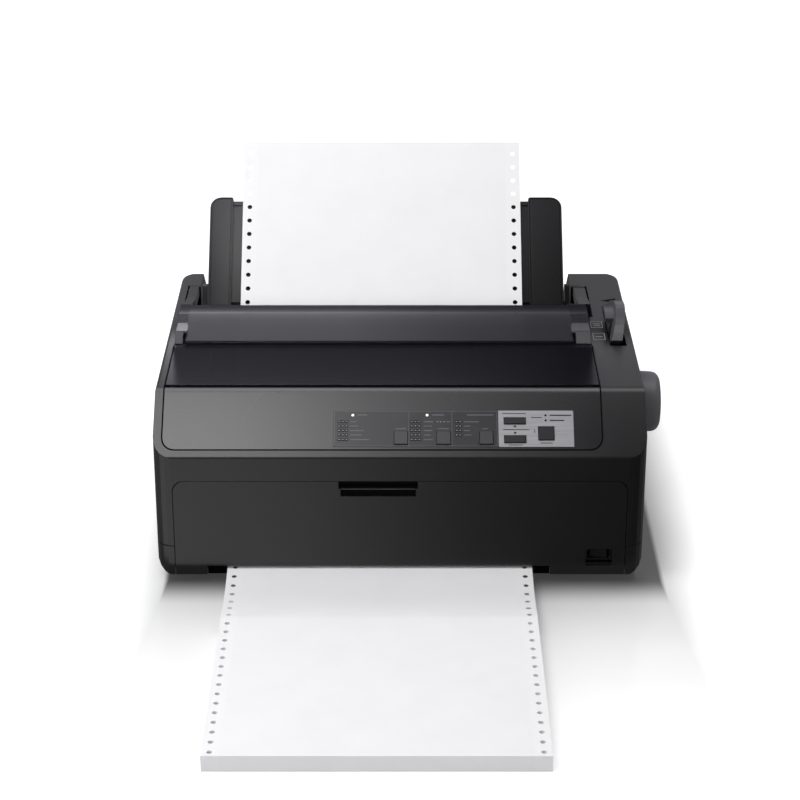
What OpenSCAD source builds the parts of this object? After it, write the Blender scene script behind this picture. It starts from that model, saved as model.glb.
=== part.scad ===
// A dot matrix printer with a front paper slot, loaded with continuous paper.
// Every module is drawn with X across, Y as the depth behind the front face and
// Z as the height above the table, and from_front() sets it on the part's origin,
// the middle of the ground that the printer and its paper cover.

/* [Body] */
// Width of the case
body_w = 386; // [376:1:400]
// Depth of the case
body_d = 345; // [338:1:370]
// Height of the flat top above the table
body_h = 149; // [147:0.5:156]
// Height of the feet under the case
foot_h = 6; // [5:0.5:7]
// Radius of a rubber foot
foot_r = 9; // [6:0.5:12]
// Wall of the case mouldings
wall = 2.5; // [2:0.1:3]
// Height of the shoulder where the slanted panel starts
shoulder_z = 110; // [107:0.5:113]
// Depth of the ridge between the slanted panel and the flat top
ridge_d = 46; // [44:0.5:48]
// Depth at which the flat top ends and the back starts to fall
crest_d = 300; // [292:1:308]
// Radius of the ridge between the slanted panel and the flat top
ridge_r = 10; // [6:0.5:12]
// Radius of the side corners of the falling back
fall_corner_r = 12; // [8:0.5:13]
// Height of the edge between the falling back and the rear wall
back_edge_z = 112; // [106:1:120]
// Height of the joint between the lower and the upper case
seam_z = 33; // [32.5:0.5:35]
// Radius of the upright corners of the case
corner_r = 14; // [10:0.5:18]
// Radius of the lower side edges of the case
lower_edge_r = 16; // [12:0.5:18]
// Width of the top of the left cheek
left_cheek_w = 7; // [6.6:0.2:7.6]
// Width of the top of the right cheek
right_cheek_w = 35; // [34.6:0.2:35.6]
// Run of the slanted border below the panel groove
border_run = 6.4; // [5.5:0.1:7.5]
// Width of the gaps between neighbouring mouldings
groove_w = 0.5; // [0.4:0.05:0.7]

/* [Front cover] */
// Half of the width of the front cover
cover_half_w = 178; // [174:0.5:178.5]
// Height of the top edge of the front cover
cover_top_z = 89.2; // [88:0.2:92]
// Radius of the upper corners of the front cover
cover_corner_r = 9; // [5:0.5:12]
// Height of the hinge axis of the front cover
cover_hinge_z = 17; // [16.8:0.1:17.4]
// Left end of the paper notch in the front cover
notch_x0 = -153; // [-158:0.5:-148]
// Right end of the paper notch in the front cover
notch_x1 = 119; // [114:0.5:124]
// Height of the top of the paper notch
notch_z = 15; // [14.8:0.1:15.2]
// Left end of the grip pocket
grip_x0 = -48; // [-56:1:-40]
// Width of the grip pocket
grip_w = 62; // [50:1:70]
// Height of the grip pocket
grip_h = 13; // [10:0.5:15]

/* [Printer cover] */
// Depth of the front edge of the smoked window
window_d0 = 52.6; // [51:0.2:54]
// Depth at which the window meets the raised band
band_d0 = 135; // [132:0.5:138]
// Height of the step at the front of the raised band
band_step = 3; // [2:0.2:4]
// Depth of the top edge of the raised band
band_d1 = 175; // [172:0.5:180]
// Height of the top strip behind the band
band_z = 161; // [158:0.5:163]
// Depth of the rear edge of the top strip
band_end_d = 196; // [194:0.5:200]
// Depth of the hinge axis of the printer cover
lid_hinge_d = 262; // [258:0.5:264]
// Height of the hinge axis of the printer cover
lid_hinge_z = 147; // [146.5:0.1:147.5]

/* [Paper] */
// Left edge of the continuous paper
paper_x0 = -137; // [-139:0.5:-135]
// Width of the continuous paper with its margins
paper_w = 242; // [238:0.5:243]
// Thickness that stands for one sheet
sheet_t = 0.3; // [0.2:0.05:0.35]
// Pitch of the feed holes
hole_pitch = 12.7; // [12.7:0.1:13]
// Radius of a feed hole
hole_r = 2; // [1.9:0.05:2.2]
// Distance from the paper's edge to the middle of the holes
hole_inset = 6; // [5.5:0.1:6.5]
// Height of the folded stack
stack_h = 12.6; // [10:0.1:12.8]
// Length of the folded stack
stack_len = 189; // [150:1:305]
// Gap between the folded stack and the front of the case
stack_gap = 81.4; // [78:0.2:95]
// Slope of the paper through the tractors
feed_slope = 26.65; // [26.5:0.05:26.8]
// Slope at which the paper leaves the platen
exit_slope = 17.6; // [17:0.1:18.2]
// Length of the run from the platen to the last bend
exit_run = 102.2; // [100:0.2:103]
// Slope of the paper and its guide behind the printer
lean_slope = 47.4; // [46:0.2:49]
// Length of paper that stands up behind the printer
upright_run = 164.2; // [150:0.2:180]

/* [Drive] */
// Depth of the platen axis
platen_d = 135; // [134.5:0.1:135.5]
// Height of the platen axis
platen_z = 98; // [97.5:0.1:98.5]
// Radius of the rubber platen
platen_r = 17; // [16.9:0.05:17.05]
// Radius of the platen shaft
platen_shaft_r = 5; // [4:0.1:5.6]
// Radius of the platen knob
knob_r = 25.6; // [20:0.2:28]
// Length of the platen knob
knob_len = 22; // [18:0.5:28]
// Distance of the tractor drive shaft along the paper, before the platen bend
tractor_back = 43.15; // [42.6:0.05:43.6]
// Distance of the tractor drive shaft below the paper
tractor_drop = 13.45; // [13.3:0.05:13.6]
// Teeth of the gear on the platen shaft
platen_teeth = 42; // [42]
// Teeth of the idler gear
idler_teeth = 44; // [44]
// Teeth of the gear on the tractor shaft
tractor_teeth = 30; // [30]
// Teeth of the feed motor's pinion
pinion_teeth = 14; // [14]
// Tooth size, pitch diameter over number of teeth
gear_module = 1; // [1]
// Face width of the gears
gear_w = 5; // [4:0.5:6]
// Radial running gap between a shaft and its hole
fit = 0.05; // [0.03:0.01:0.08]

/* [Carriage] */
// Distance of the carriage shaft in front of the platen axis
carriage_gap = 40; // [39:0.5:41]
// Height of the carriage shaft
carriage_z = 74; // [73.5:0.5:74.5]
// Radius of the carriage shaft
carriage_shaft_r = 5; // [4:0.5:6]
// Width of the carriage
carriage_w = 36; // [30:1:44]
// Place of the carriage across the printer
carriage_x = -100; // [-110:1:-20]
// Pitch radius of the carriage belt's pulleys
pulley_r = 6; // [5:0.5:6.5]

/* [Controls] */
// How far the buttons stand out of the panel
button_rise = 1.2; // [1:0.1:1.8]
// How far a button travels
button_travel = 1.2; // [0.8:0.1:1.3]
// Gap around a button in its hole
button_gap = 0.4; // [0.3:0.05:0.6]
// Distance of the labels' lower edge from the shoulder
label_y0 = 9.2; // [8.8:0.1:10]
// Distance of the labels' upper edge from the shoulder
label_y1 = 40.4; // [39:0.2:44]
// Radius of the release lever's rim
lever_r = 51.5; // [47:0.5:52]
// Width of the release lever
lever_w = 9; // [7:0.5:10]

/* [Sheet guide] */
// Left edge of the sheet guide with its edge guides
guide_x0 = -165.5; // [-166.5:0.5:-163]
// Right edge of the sheet guide with its edge guides
guide_x1 = 141; // [139:0.5:142]
// Distance of the sheet guide's top edge from the paper's last bend
guide_top = 109; // [100:1:115]
// Width of the left edge guide
edge_left_w = 20; // [16:0.5:20.5]
// Width of the right edge guide
edge_right_w = 29; // [24:0.5:29.5]

/* [Hidden] */
$fn = 48;
ARC_STEPS = 5;

// Colours, as the photograph shows them
black_case = [0.13, 0.13, 0.135];
dark_part = [0.2, 0.2, 0.21];
smoked = [0.12, 0.12, 0.14, 0.6];
grey_part = [0.36, 0.36, 0.37];
steel = [0.66, 0.67, 0.69];
rubber_black = [0.07, 0.07, 0.07];
nylon = [0.85, 0.84, 0.8];
paper_white = [0.95, 0.95, 0.95];
board_green = [0.1, 0.32, 0.2];
label_silver = [0.66, 0.66, 0.67];
lamp_green = [0.75, 0.9, 0.6];

// ---- Places worked out from the sizes above ----
half_w = body_w / 2;
knob_gap = 0.5;
knob_x1 = half_w + knob_gap + knob_len;
stack_d1 = -stack_gap;
stack_d0 = stack_d1 - stack_len;
origin_x = (knob_x1 - half_w) / 2;
origin_d = (body_d + stack_d0) / 2;

floor_z = foot_h + wall;
slope = atan2(body_h - shoulder_z, ridge_d);
slope_len = norm([ridge_d, body_h - shoulder_z]);
bay_x0 = left_cheek_w - half_w;
bay_x1 = half_w - right_cheek_w;
fin_left_x = -half_w + 18;
fin_right_x = half_w - 43;
fin_d = lid_hinge_d + 8;
rear_well_z = 95;
fin_wall_z = 80;
cover_gap = 0.5;

// Frame plates
frame_t = 2;
frame_left_x = -160;
frame_right_x = 131;
frame_in_x0 = frame_left_x + frame_t / 2;
frame_in_x1 = frame_right_x - frame_t / 2;
frame_out_x1 = frame_right_x + frame_t / 2;
gear_x0 = frame_out_x1 + 1.5;
gear_x1 = gear_x0 + gear_w;

// Front cover
cover_t = wall;
cover_hinge = [2.2, cover_hinge_z];
cover_sweep = norm([cover_hinge.x, cover_hinge_z - foot_h]);
front_lip_d = cover_hinge.x + cover_sweep + 0.6;

// Paper route through the printer, as [depth, height, bend radius]
paper_x1 = paper_x0 + paper_w;
paper_gap = 0.5;
wrap_r = platen_r + paper_gap + sheet_t / 2;
slot_bend = [8, 13];
platen_front_d = platen_d - wrap_r;
feed_len = (platen_front_d - slot_bend.x) / cos(feed_slope);
feed_top_z = slot_bend.y + (platen_front_d - slot_bend.x) * tan(feed_slope);
wrap_top_z = platen_z + wrap_r * tan((90 - exit_slope) / 2);
exit_bend = [platen_front_d, wrap_top_z] + exit_run * [cos(exit_slope), sin(exit_slope)];
paper_end = exit_bend + upright_run * [cos(lean_slope), sin(lean_slope)];
web_corners = [
    [stack_d1, stack_h - sheet_t / 2, 0],
    [stack_d1 + 4, stack_h - sheet_t / 2, 60],
    [-38, 8.2, 150],
    [slot_bend.x, slot_bend.y, 40],
    [platen_front_d, feed_top_z, 25],
    [platen_front_d, wrap_top_z, wrap_r],
    [exit_bend.x, exit_bend.y, 30],
    [paper_end.x, paper_end.y, 0]
];

// Shafts and gears
tractor_run = feed_len - tractor_back;
tractor_axis = slot_bend + along_slope(feed_slope, tractor_run, -tractor_drop);
guide_shaft_run = tractor_run - 41.2;
guide_shaft_drop = 5.45;
guide_shaft_axis = slot_bend + along_slope(feed_slope, guide_shaft_run, -guide_shaft_drop);
tractor_shaft_r = 4;
guide_shaft_r = 2.5;
platen_axis = [platen_d, platen_z];
idler_axis = meeting_point(platen_axis, tractor_axis,
    mesh_distance(platen_teeth, idler_teeth), mesh_distance(idler_teeth, tractor_teeth));
pinion_direction = -37;
pinion_axis = idler_axis
    + mesh_distance(idler_teeth, pinion_teeth) * [cos(pinion_direction), sin(pinion_direction)];
idler_stub_r = 3;
pinion_shaft_r = 2.5;
feed_motor_r = 21;
bush_t = 3;

// Carriage
head_z = platen_z;
head_nose_d = platen_front_d - 1.75;
carriage_d = platen_d - carriage_gap;
carriage_axis = [carriage_d, carriage_z];
carriage_half = carriage_w / 2;
rail_d = carriage_d - 31;
rail_z = carriage_z + 2;
belt_d = carriage_d - 29;
belt_z0 = 85.5;
belt_z1 = belt_z0 + 6;
belt_t = 1;
drive_pulley_x = 161;
idler_pulley_x = -148;
shelf_z = 82;
shelf_t = 2;
carriage_motor_r = 17;

// Ribbon cartridge
cartridge_z0 = 104;
cartridge_z1 = 122;
cartridge_x0 = -148;
cartridge_x1 = 118;
cartridge_d1 = platen_front_d - 37.35;
cartridge_d0 = cartridge_d1 - 30;
ribbon_knob_x = -110;
ribbon_knob_d = cartridge_d0 + 15;

// Sheet guide
pivot_run = 15.478;
pivot_drop = 9.18;
post_pivot = exit_bend + along_slope(lean_slope, pivot_run, -pivot_drop);
post_w = 4;
post_x = [guide_x0 - 5, guide_x1 + 1.5];
pivot_r = 3;
guide_gap = 3.25;
guide_t = 3.4;
edge_slide = 6;

// Release lever
lever_axis = [176, 117];
lever_x0 = half_w - 19;
lever_slot_x = [lever_x0 - 0.8, lever_x0 + lever_w + 3.8];
lever_slot_half = sqrt(lever_r ^ 2 - (body_h - wall - lever_axis.y) ^ 2) + 1.5;
lever_wing_w = 2.8;
lever_pin_r = 3;

// Boards, behind the frame
board_t = 1.6;
board_z = 16;
frame_end_d = platen_d + 71;
board_d0 = frame_end_d + 16;
board_x0 = -158;
board_x1 = 56;
supply_d0 = frame_end_d + 20;
supply_x0 = 66;
supply_x1 = 176;

// ---- Functions ----
function unit(v) = v / norm(v);
function left_of(a, b) = let (u = unit(b - a)) [-u.y, u.x];
function flat(p) = [p.x, p.y];
function along_slope(a, run, rise) =
    [run * cos(a) - rise * sin(a), run * sin(a) + rise * cos(a)];
function joined(lists) = [for (l = lists) for (p = l) p];
function backwards(l) = [for (i = [len(l) - 1:-1:0]) l[i]];

// The points of one rounded corner p between its neighbours a and b
function corner_points(a, p, b, r) =
    r <= 0 ? [p] :
    let (
        u1 = unit(a - p),
        u2 = unit(b - p),
        half = acos(u1 * u2) / 2,
        centre = p + unit(u1 + u2) * r / sin(half),
        start = p + u1 * r / tan(half) - centre,
        turn = cross(p - a, b - p) > 0 ? 1 : -1,
        a0 = atan2(start.y, start.x)
    )
    [for (k = [0:ARC_STEPS])
        let (t = a0 + turn * (180 - 2 * half) * k / ARC_STEPS)
        centre + r * [cos(t), sin(t)]];

// A closed outline from [x, y, radius] corners, drawn anticlockwise
function softened(c) =
    let (n = len(c))
    joined([for (i = [0:n - 1])
        corner_points(flat(c[(i + n - 1) % n]), flat(c[i]), flat(c[(i + 1) % n]), c[i].z)]);

// The same corners moved inwards by t
function inset(c, t) =
    let (n = len(c))
    [for (i = [0:n - 1])
        let (
            p = flat(c[i]),
            n1 = left_of(flat(c[(i + n - 1) % n]), p),
            n2 = left_of(p, flat(c[(i + 1) % n])),
            q = p + t * (n1 + n2) / (1 + n1 * n2)
        )
        [q.x, q.y, max(c[i].z - t, 0)]];

// An open line with its inner corners rounded
function bent_line(c) =
    let (n = len(c))
    joined([for (i = [0:n - 1])
        i == 0 || i == n - 1 ? [flat(c[i])]
        : corner_points(flat(c[i - 1]), flat(c[i]), flat(c[i + 1]), c[i].z)]);

// The line moved to its left by t
function beside(line, t) =
    let (n = len(line))
    [for (i = [0:n - 1])
        let (
            n1 = left_of(line[max(i - 1, 0)], line[max(i - 1, 0) + 1]),
            n2 = left_of(line[min(i, n - 2)], line[min(i, n - 2) + 1])
        )
        line[i] + t * (n1 + n2) / (1 + n1 * n2)];

// The outline of a strip between two offsets of a line
function strip(line, t0, t1) = concat(beside(line, t0), backwards(beside(line, t1)));

function rounded_box(x0, x1, y0, y1, r) = softened([[x0, y0, r], [x1, y0, r], [x1, y1, r], [x0, y1, r]]);

// Length of a line up to each of its points, and the place at a given length
function run_lengths(line, i = 0, s = 0) =
    i >= len(line) - 1 ? [s]
    : concat([s], run_lengths(line, i + 1, s + norm(line[i + 1] - line[i])));
function segment_at(lengths, s, i = 0) =
    i >= len(lengths) - 2 || lengths[i + 1] >= s ? i : segment_at(lengths, s, i + 1);

// Gears
function mesh_distance(a, b) = gear_module * (a + b) / 2;
function meeting_point(a, b, ra, rb) =
    let (
        d = norm(b - a),
        u = (b - a) / d,
        m = (ra * ra - rb * rb + d * d) / (2 * d),
        h = sqrt(max(ra * ra - m * m, 0))
    )
    a + m * u + h * [-u.y, u.x];
function heading(a, b) = atan2(b.y - a.y, b.x - a.x);
function mesh_phase(phase_a, teeth_a, teeth_b, h) =
    h + 180 - 360 / teeth_b * ((phase_a - h) * teeth_a / 360 + 0.5);
function gear_points(teeth, phase) =
    let (pitch_r = gear_module * teeth / 2)
    [for (i = [0:teeth - 1])
        for (s = [[-0.27, -1.25], [-0.11, 0.95], [0.11, 0.95], [0.27, -1.25]])
            let (a = phase + 360 / teeth * (i + s.x))
            (pitch_r + s.y * gear_module) * [cos(a), sin(a)]];

web_line = bent_line(web_corners);
web_lengths = run_lengths(web_line);
idler_phase = mesh_phase(0, platen_teeth, idler_teeth, heading(platen_axis, idler_axis));
tractor_phase = mesh_phase(idler_phase, idler_teeth, tractor_teeth,
    heading(idler_axis, tractor_axis));
pinion_phase = mesh_phase(idler_phase, idler_teeth, pinion_teeth,
    heading(idler_axis, pinion_axis));

// ---- Placing and drawing helpers ----
module from_front() { translate([-origin_x, -origin_d, 0]) children(); }
module block(x0, x1, d0, d1, z0, z1) { translate([x0, d0, z0]) cube([x1 - x0, d1 - d0, z1 - z0]); }
module along_x(x0, x1) { translate([x0, 0, 0]) rotate([90, 0, 90]) linear_extrude(x1 - x0) children(); }
module along_y(d0, d1) { translate([0, d1, 0]) rotate([90, 0, 0]) linear_extrude(d1 - d0) children(); }
module along_z(z0, z1) { translate([0, 0, z0]) linear_extrude(z1 - z0) children(); }
module rod_x(x0, x1, at, r) { translate([x0, at.x, at.y]) rotate([0, 90, 0]) cylinder(h = x1 - x0, r = r); }
module rod_y(d0, d1, x, z, r) { translate([x, d1, z]) rotate([90, 0, 0]) cylinder(h = d1 - d0, r = r); }
module rod_z(z0, z1, x, d, r) { translate([x, d, z0]) cylinder(h = z1 - z0, r = r); }
// Y runs up the slanted panel and Z stands out of it
module on_slope() { translate([0, 0, shoulder_z]) rotate([slope, 0, 0]) children(); }
// Y runs along the paper through the tractors and Z stands above it
module on_feed() { translate([0, slot_bend.x, slot_bend.y]) rotate([feed_slope, 0, 0]) children(); }
// Y runs up the leaning paper and Z stands in front of it
module on_lean() { translate([0, exit_bend.x, exit_bend.y]) rotate([lean_slope, 0, 0]) children(); }

// ---- Case ----
side_corners = [
    [0, foot_h, 3], [body_d, foot_h, 6], [body_d, back_edge_z, 8],
    [crest_d, body_h, 3], [ridge_d, body_h, ridge_r], [0, shoulder_z, 2.5]
];
top_edge_r = 2;
front_corners = [
    [-half_w, foot_h, lower_edge_r], [half_w, foot_h, lower_edge_r],
    [half_w, body_h, top_edge_r], [-half_w, body_h, top_edge_r]
];
plan_corners = [
    [-half_w, 0, corner_r], [half_w, 0, corner_r],
    [half_w, body_d, corner_r], [-half_w, body_d, corner_r]
];
// The outline across the falling back, whose plane is its upper edge
fall_tilt = atan2(body_d - crest_d, body_h - back_edge_z);
fall_corners = [
    [-half_w, -body_d, 0], [half_w, -body_d, 0],
    [half_w, 0, fall_corner_r], [-half_w, 0, fall_corner_r]
];

// The outer form of the whole case, moved inwards by t
module body_form(t) {
    intersection() {
        along_x(-half_w, half_w) polygon(softened(inset(side_corners, t)));
        along_y(0, body_d) polygon(softened(inset(front_corners, t)));
        along_z(0, body_h) polygon(softened(inset(plan_corners, t)));
        translate([0, crest_d, body_h]) rotate([fall_tilt, 0, 0]) translate([0, 0, -body_d])
            linear_extrude(2 * body_d) polygon(softened(inset(fall_corners, t)));
    }
}

// The opening for the panel and the printer cover, drawn in by t
module bay_form(t) {
    x0 = bay_x0 + t;
    x1 = bay_x1 - t;
    y0 = border_run + t;
    on_slope() translate([0, 0, -8]) linear_extrude(60)
        polygon(softened([[x0, y0, 10], [x1, y0, 10], [x1, slope_len + 14, 0], [x0, slope_len + 14, 0]]));
    block(x0, x1, ridge_d, fin_d, rear_well_z, body_h + 60);
}

// The opening of the front cover, drawn in by t
module cover_opening(t, d0, d1) {
    along_y(d0, d1) polygon(softened([
        [-cover_half_w + t, 0, 0], [cover_half_w - t, 0, 0],
        [cover_half_w - t, cover_top_z - t, cover_corner_r],
        [-cover_half_w + t, cover_top_z - t, cover_corner_r]
    ]));
}

screw_places = [
    [-168, platen_d + 70], [150, platen_d + 70], [-168, body_d - 20], [172, platen_d - 15]
];
screw_r = 1.75;

module lower_case() color(black_case) from_front() {
    difference() {
        intersection() {
            body_form(0);
            block(-half_w, half_w, 0, body_d, 0, seam_z);
        }
        body_form(wall);
        difference() {
            block(-half_w - 1, half_w + 1, -1, body_d + 1, seam_z - 0.8, seam_z + 1);
            body_form(0.8);
        }
        cover_opening(-groove_w, -1, front_lip_d);
        cover_pin_bore();
        port_openings();
        for (p = screw_places) {
            rod_z(0, floor_z + 1, p.x, p.y, screw_r + fit);
            rod_z(0, foot_h + 1, p.x, p.y, 3.6);
        }
    }
    // Lip that the paper runs over, behind the front cover
    block(-cover_half_w, cover_half_w, front_lip_d, front_lip_d + wall, floor_z, 11);
    for (s = [-1, 1]) cover_boss(s);
    // Screw posts, board posts and the shelf of the power switch
    for (p = screw_places) difference() {
        rod_z(floor_z, seam_z, p.x, p.y, 5);
        rod_z(floor_z - 1, seam_z + 1, p.x, p.y, screw_r + fit);
    }
    for (x = [board_x0 + 13, board_x1 - 6], d = [board_d0 + 8, body_d - 20]) rod_z(floor_z, board_z, x, d, 4);
    block(switch_x0, switch_x1, front_lip_d + wall, switch_d1, floor_z, switch_z0);
}

module cover_pin_bore() { rod_x(-cover_pin_x - 0.3, cover_pin_x + 0.3, cover_hinge, cover_pin_r + fit); }

// The boss that holds one hinge pin of the front cover
module cover_boss(s) {
    difference() {
        intersection() {
            body_form(0);
            block(min(s * (cover_half_w + groove_w), s * (half_w - 5)),
                max(s * (cover_half_w + groove_w), s * (half_w - 5)), 0, 9, 0, cover_hinge_z + 8);
        }
        cover_pin_bore();
    }
}

foot_in_x = 33;
foot_in_d = 40;
module rubber_feet() color(rubber_black) from_front() {
    for (x = [foot_in_x - half_w, half_w - foot_in_x], d = [foot_in_d, body_d - foot_in_d])
        rod_z(0, foot_h, x, d, foot_r);
}

module case_screws() color(steel) from_front() {
    for (p = screw_places) {
        rod_z(foot_h + 1 - 2, foot_h + 1, p.x, p.y, 3.2);
        rod_z(foot_h + 1 - 2, seam_z + 6, p.x, p.y, screw_r);
    }
}

inlet_x = 130;
inlet_z = 48;

module upper_case() color(black_case) from_front() {
    difference() {
        intersection() {
            body_form(0);
            block(-half_w, half_w, 0, body_d, seam_z, body_h + 1);
        }
        body_form(wall);
        bay_form(0);
        cover_opening(-groove_w, -1, wall + 1);
        block(fin_left_x, fin_right_x, fin_d - 1, body_d + 1, rear_well_z, body_h + 1);
        lid_bore();
        rod_x(half_w - wall - 1, half_w + 1, platen_axis, platen_shaft_r + 2);
        block(lever_slot_x[0], lever_slot_x[1], lever_axis.x - lever_slot_half,
            lever_axis.x + lever_slot_half, body_h - wall - 1, body_h + 1);
        // The bay is wider beside the cover's right arm
        block(bay_x1 - 1, hinge_bay_x1, band_end_d, lid_hinge_d + 7, lid_hinge_z - 8, body_h + 1);
        block(inlet_x - 14, inlet_x + 14, body_d - wall - 1, body_d + 1, inlet_z - 10, inlet_z + 10);
        for (i = [0:11]) block(-62 + i * 8, -59 + i * 8, body_d - wall - 1, body_d + 1, 60, 82);
    }
    // Skirts under the edges of the bay, and the walls of the rear fins
    intersection() {
        body_form(0.2);
        union() {
            block(bay_x1, bay_x1 + 2, ridge_d + 6, band_end_d, body_h - 14, body_h);
            block(hinge_bay_x1, hinge_bay_x1 + 2, band_end_d, lid_hinge_d - 8, body_h - 14, body_h);
            block(bay_x1, hinge_bay_x1 + 2, band_end_d - 2, band_end_d, body_h - 14, body_h);
            block(fin_left_x - 2, fin_left_x, fin_d - 2, body_d, fin_wall_z, body_h);
            block(fin_right_x, fin_right_x + 2, fin_d - 2, body_d, fin_wall_z, body_h);
            block(-half_w, fin_left_x, fin_d, fin_d + 2, rear_well_z, body_h);
            block(fin_right_x, half_w, fin_d, fin_d + 2, rear_well_z, body_h);
        }
    }
    lid_bosses();
    // Pin that carries the release lever
    rod_x(lever_x0 - 1, half_w - wall, lever_axis, lever_pin_r);
    // Screw posts that meet the lower case
    for (p = screw_places) difference() {
        rod_z(seam_z, seam_z + 14, p.x, p.y, 5);
        rod_z(seam_z - 1, seam_z + 8, p.x, p.y, screw_r + fit);
    }
    for (p = screw_places) post_tie(p);
}

// The rib that ties a screw post to the nearer side wall
module post_tie(p) {
    if (p.x < 0) block(-half_w + 1, p.x - 4, p.y - 1.5, p.y + 1.5, seam_z, seam_z + 14);
    else block(p.x + 4, half_w - 1, p.y - 1.5, p.y + 1.5, seam_z, seam_z + 14);
}

lid_pin_r = 1.5;
lid_pin_x0 = -half_w + 4.7;
hinge_bay_x1 = bay_x1 + 5.7;
lid_pin_x1 = hinge_bay_x1 + 3.8;
lid_axis = [lid_hinge_d, lid_hinge_z];
arm_end_r = 4.4;

module lid_bore() { rod_x(lid_pin_x0 - 0.3, lid_pin_x1 + 0.5, lid_axis, lid_pin_r + fit); }

// Blocks in the cheeks that hold the hinge pins of the printer cover
module lid_bosses() {
    difference() {
        intersection() {
            body_form(0.2);
            union() {
                block(-half_w, bay_x0, lid_hinge_d - 8, fin_d + 1, lid_hinge_z - 12, body_h);
                block(hinge_bay_x1, hinge_bay_x1 + 6.3, lid_hinge_d - 8, fin_d + 1, lid_hinge_z - 12, body_h);
            }
        }
        lid_bore();
    }
}

// The low cover between the fins, with the two posts of the sheet guide
rear_cover_line = [
    [post_pivot.x - 14, post_pivot.y - 17, 0], [post_pivot.x + 12, post_pivot.y - 20, 20],
    [body_d - 1, rear_well_z + wall, 0]
];
frame_rear_z = post_pivot.y - 21;
module rear_cover() color(black_case) from_front() {
    x0 = fin_left_x + groove_w;
    x1 = fin_right_x - groove_w;
    along_x(x0, x1) polygon(strip(bent_line(rear_cover_line), 0, -wall));
    // Tongue in front of the rear wall
    tongue_d = body_d - wall - 0.3;
    block(x0 + 3, x1 - 3, tongue_d - wall, tongue_d, rear_well_z - 6, rear_well_z + 1.8);
    for (x = post_x) difference() {
        along_x(x, x + post_w) translate(post_pivot) polygon(softened([
            [-10, -21, 0], [20, -23, 0], [18, 11, 4], [8, 15.5, 4], [-8, -5, 5]
        ]));
        rod_x(x - 1, x + post_w + 1, post_pivot, pivot_r + fit);
    }
    // Feet of the rear cover on the side frames
    for (x = [frame_in_x0 - frame_t, frame_in_x1])
        block(x, x + frame_t, post_pivot.x - 28, post_pivot.x - 10, frame_rear_z, frame_rear_z + 1.6);
}

cover_pin_r = 1.2;
cover_barrel_r = 2.2;
cover_pin_x = half_w - 10.5;
module front_cover() color(black_case) from_front() {
    hinge_x = cover_half_w - 9;
    difference() {
        union() {
            intersection() {
                body_form(0);
                cover_opening(0, 0, cover_t);
            }
            block(grip_x0 - 2, grip_x0 + grip_w + 2, cover_t - 0.5, 12,
                cover_top_z - grip_h - 3, cover_top_z);
            for (x = [-140:56:140]) block(x, x + 1.6, cover_t - 0.5, 5.5, 30, 70);
            rod_x(-cover_half_w, -hinge_x, cover_hinge, cover_barrel_r);
            rod_x(hinge_x, cover_half_w, cover_hinge, cover_barrel_r);
        }
        block(notch_x0, notch_x1, -1, 9, 0, notch_z);
        block(grip_x0, grip_x0 + grip_w, -1, 10, cover_top_z - grip_h / 2, cover_top_z + 1);
        block(grip_x0 + 1.5, grip_x0 + grip_w - 1.5, -1, 1.4, cover_top_z - grip_h, cover_top_z);
        along_y(-1, 9) polygon(rounded_box(switch_hole.x, switch_hole.x + 21, switch_hole.y,
            switch_hole.y + 15, 1.5));
    }
    for (s = [-1, 1])
        rod_x(min(s * (hinge_x + 2), s * cover_pin_x), max(s * (hinge_x + 2), s * cover_pin_x),
            cover_hinge, cover_pin_r);
}

// ---- Control panel ----
// Button places on the slanted panel: [left, right, lower, upper]
button_font = [-4.4, 5.9, 11.3, 22];
button_pitch = [28.8, 39.4, 11.3, 22];
button_tear = [62.4, 72.5, 11.3, 22];
button_line = [81.5, 98.2, 28.7, 34.3];
button_load = [81.5, 98.2, 12.6, 18.8];
button_pause = [108.2, 120.3, 14.9, 26.5];
all_buttons = [button_font, button_pitch, button_tear, button_line, button_load, button_pause];
label_split_x = 77;
label_x0 = -52.4;
label_x1 = 135.7;
label_t = 0.3;
lamp_r = 1;
lamp_places = [[-37, 36.5], [21.2, 36.5], [56, 36.5]];
window_top_z = body_h;
window_t = 2.5;
lip_z = window_top_z - window_t - 0.3;
panel_end_d = window_d0 - 5;

module panel_housing() color(black_case) from_front() {
    difference() {
        union() {
            intersection() {
                difference() {
                    body_form(0);
                    body_form(wall);
                }
                union() {
                    bay_form(groove_w);
                    block(bay_x0 + groove_w, bay_x1 - groove_w, ridge_d - 4, ridge_d, body_h - 9, body_h);
                }
                block(-half_w, half_w, 0, panel_end_d, 0, body_h + 1);
            }
            // Tongue behind the border, and the lip under the window's edge
            on_slope() {
                block(bay_x0 + 12, bay_x1 - 12, border_run - 3, border_run + 3, -wall - 2, -wall);
                block(bay_x0 + 12, bay_x1 - 12, border_run + 1, border_run + 3, -wall - 2, -wall + 0.5);
            }
            block(bay_x0 + 4, bay_x1 - 4, panel_end_d - 2, panel_end_d, lip_z - 3, body_h - 1.2);
            block(bay_x0 + 4, bay_x1 - 4, panel_end_d - 2, window_d0 + 4, lip_z - 3, lip_z);
            // Posts of the panel board
            for (x = [label_x0 + 2.4, label_split_x - 57, label_x1 - 5.7]) on_slope()
                translate([x, label_y1 + 4.6, board_plane])
                cylinder(h = -board_plane - 1, r = 2.5);
        }
        on_slope() for (b = all_buttons)
            block(b[0] - button_gap, b[1] + button_gap, b[2] - button_gap, b[3] + button_gap, -wall - 1, 1);
        on_slope() for (p = lamp_places) translate([p.x, p.y, -wall - 1])
            cylinder(h = wall + 2, r = lamp_r + fit);
    }
}

board_plane = -10.5;

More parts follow.
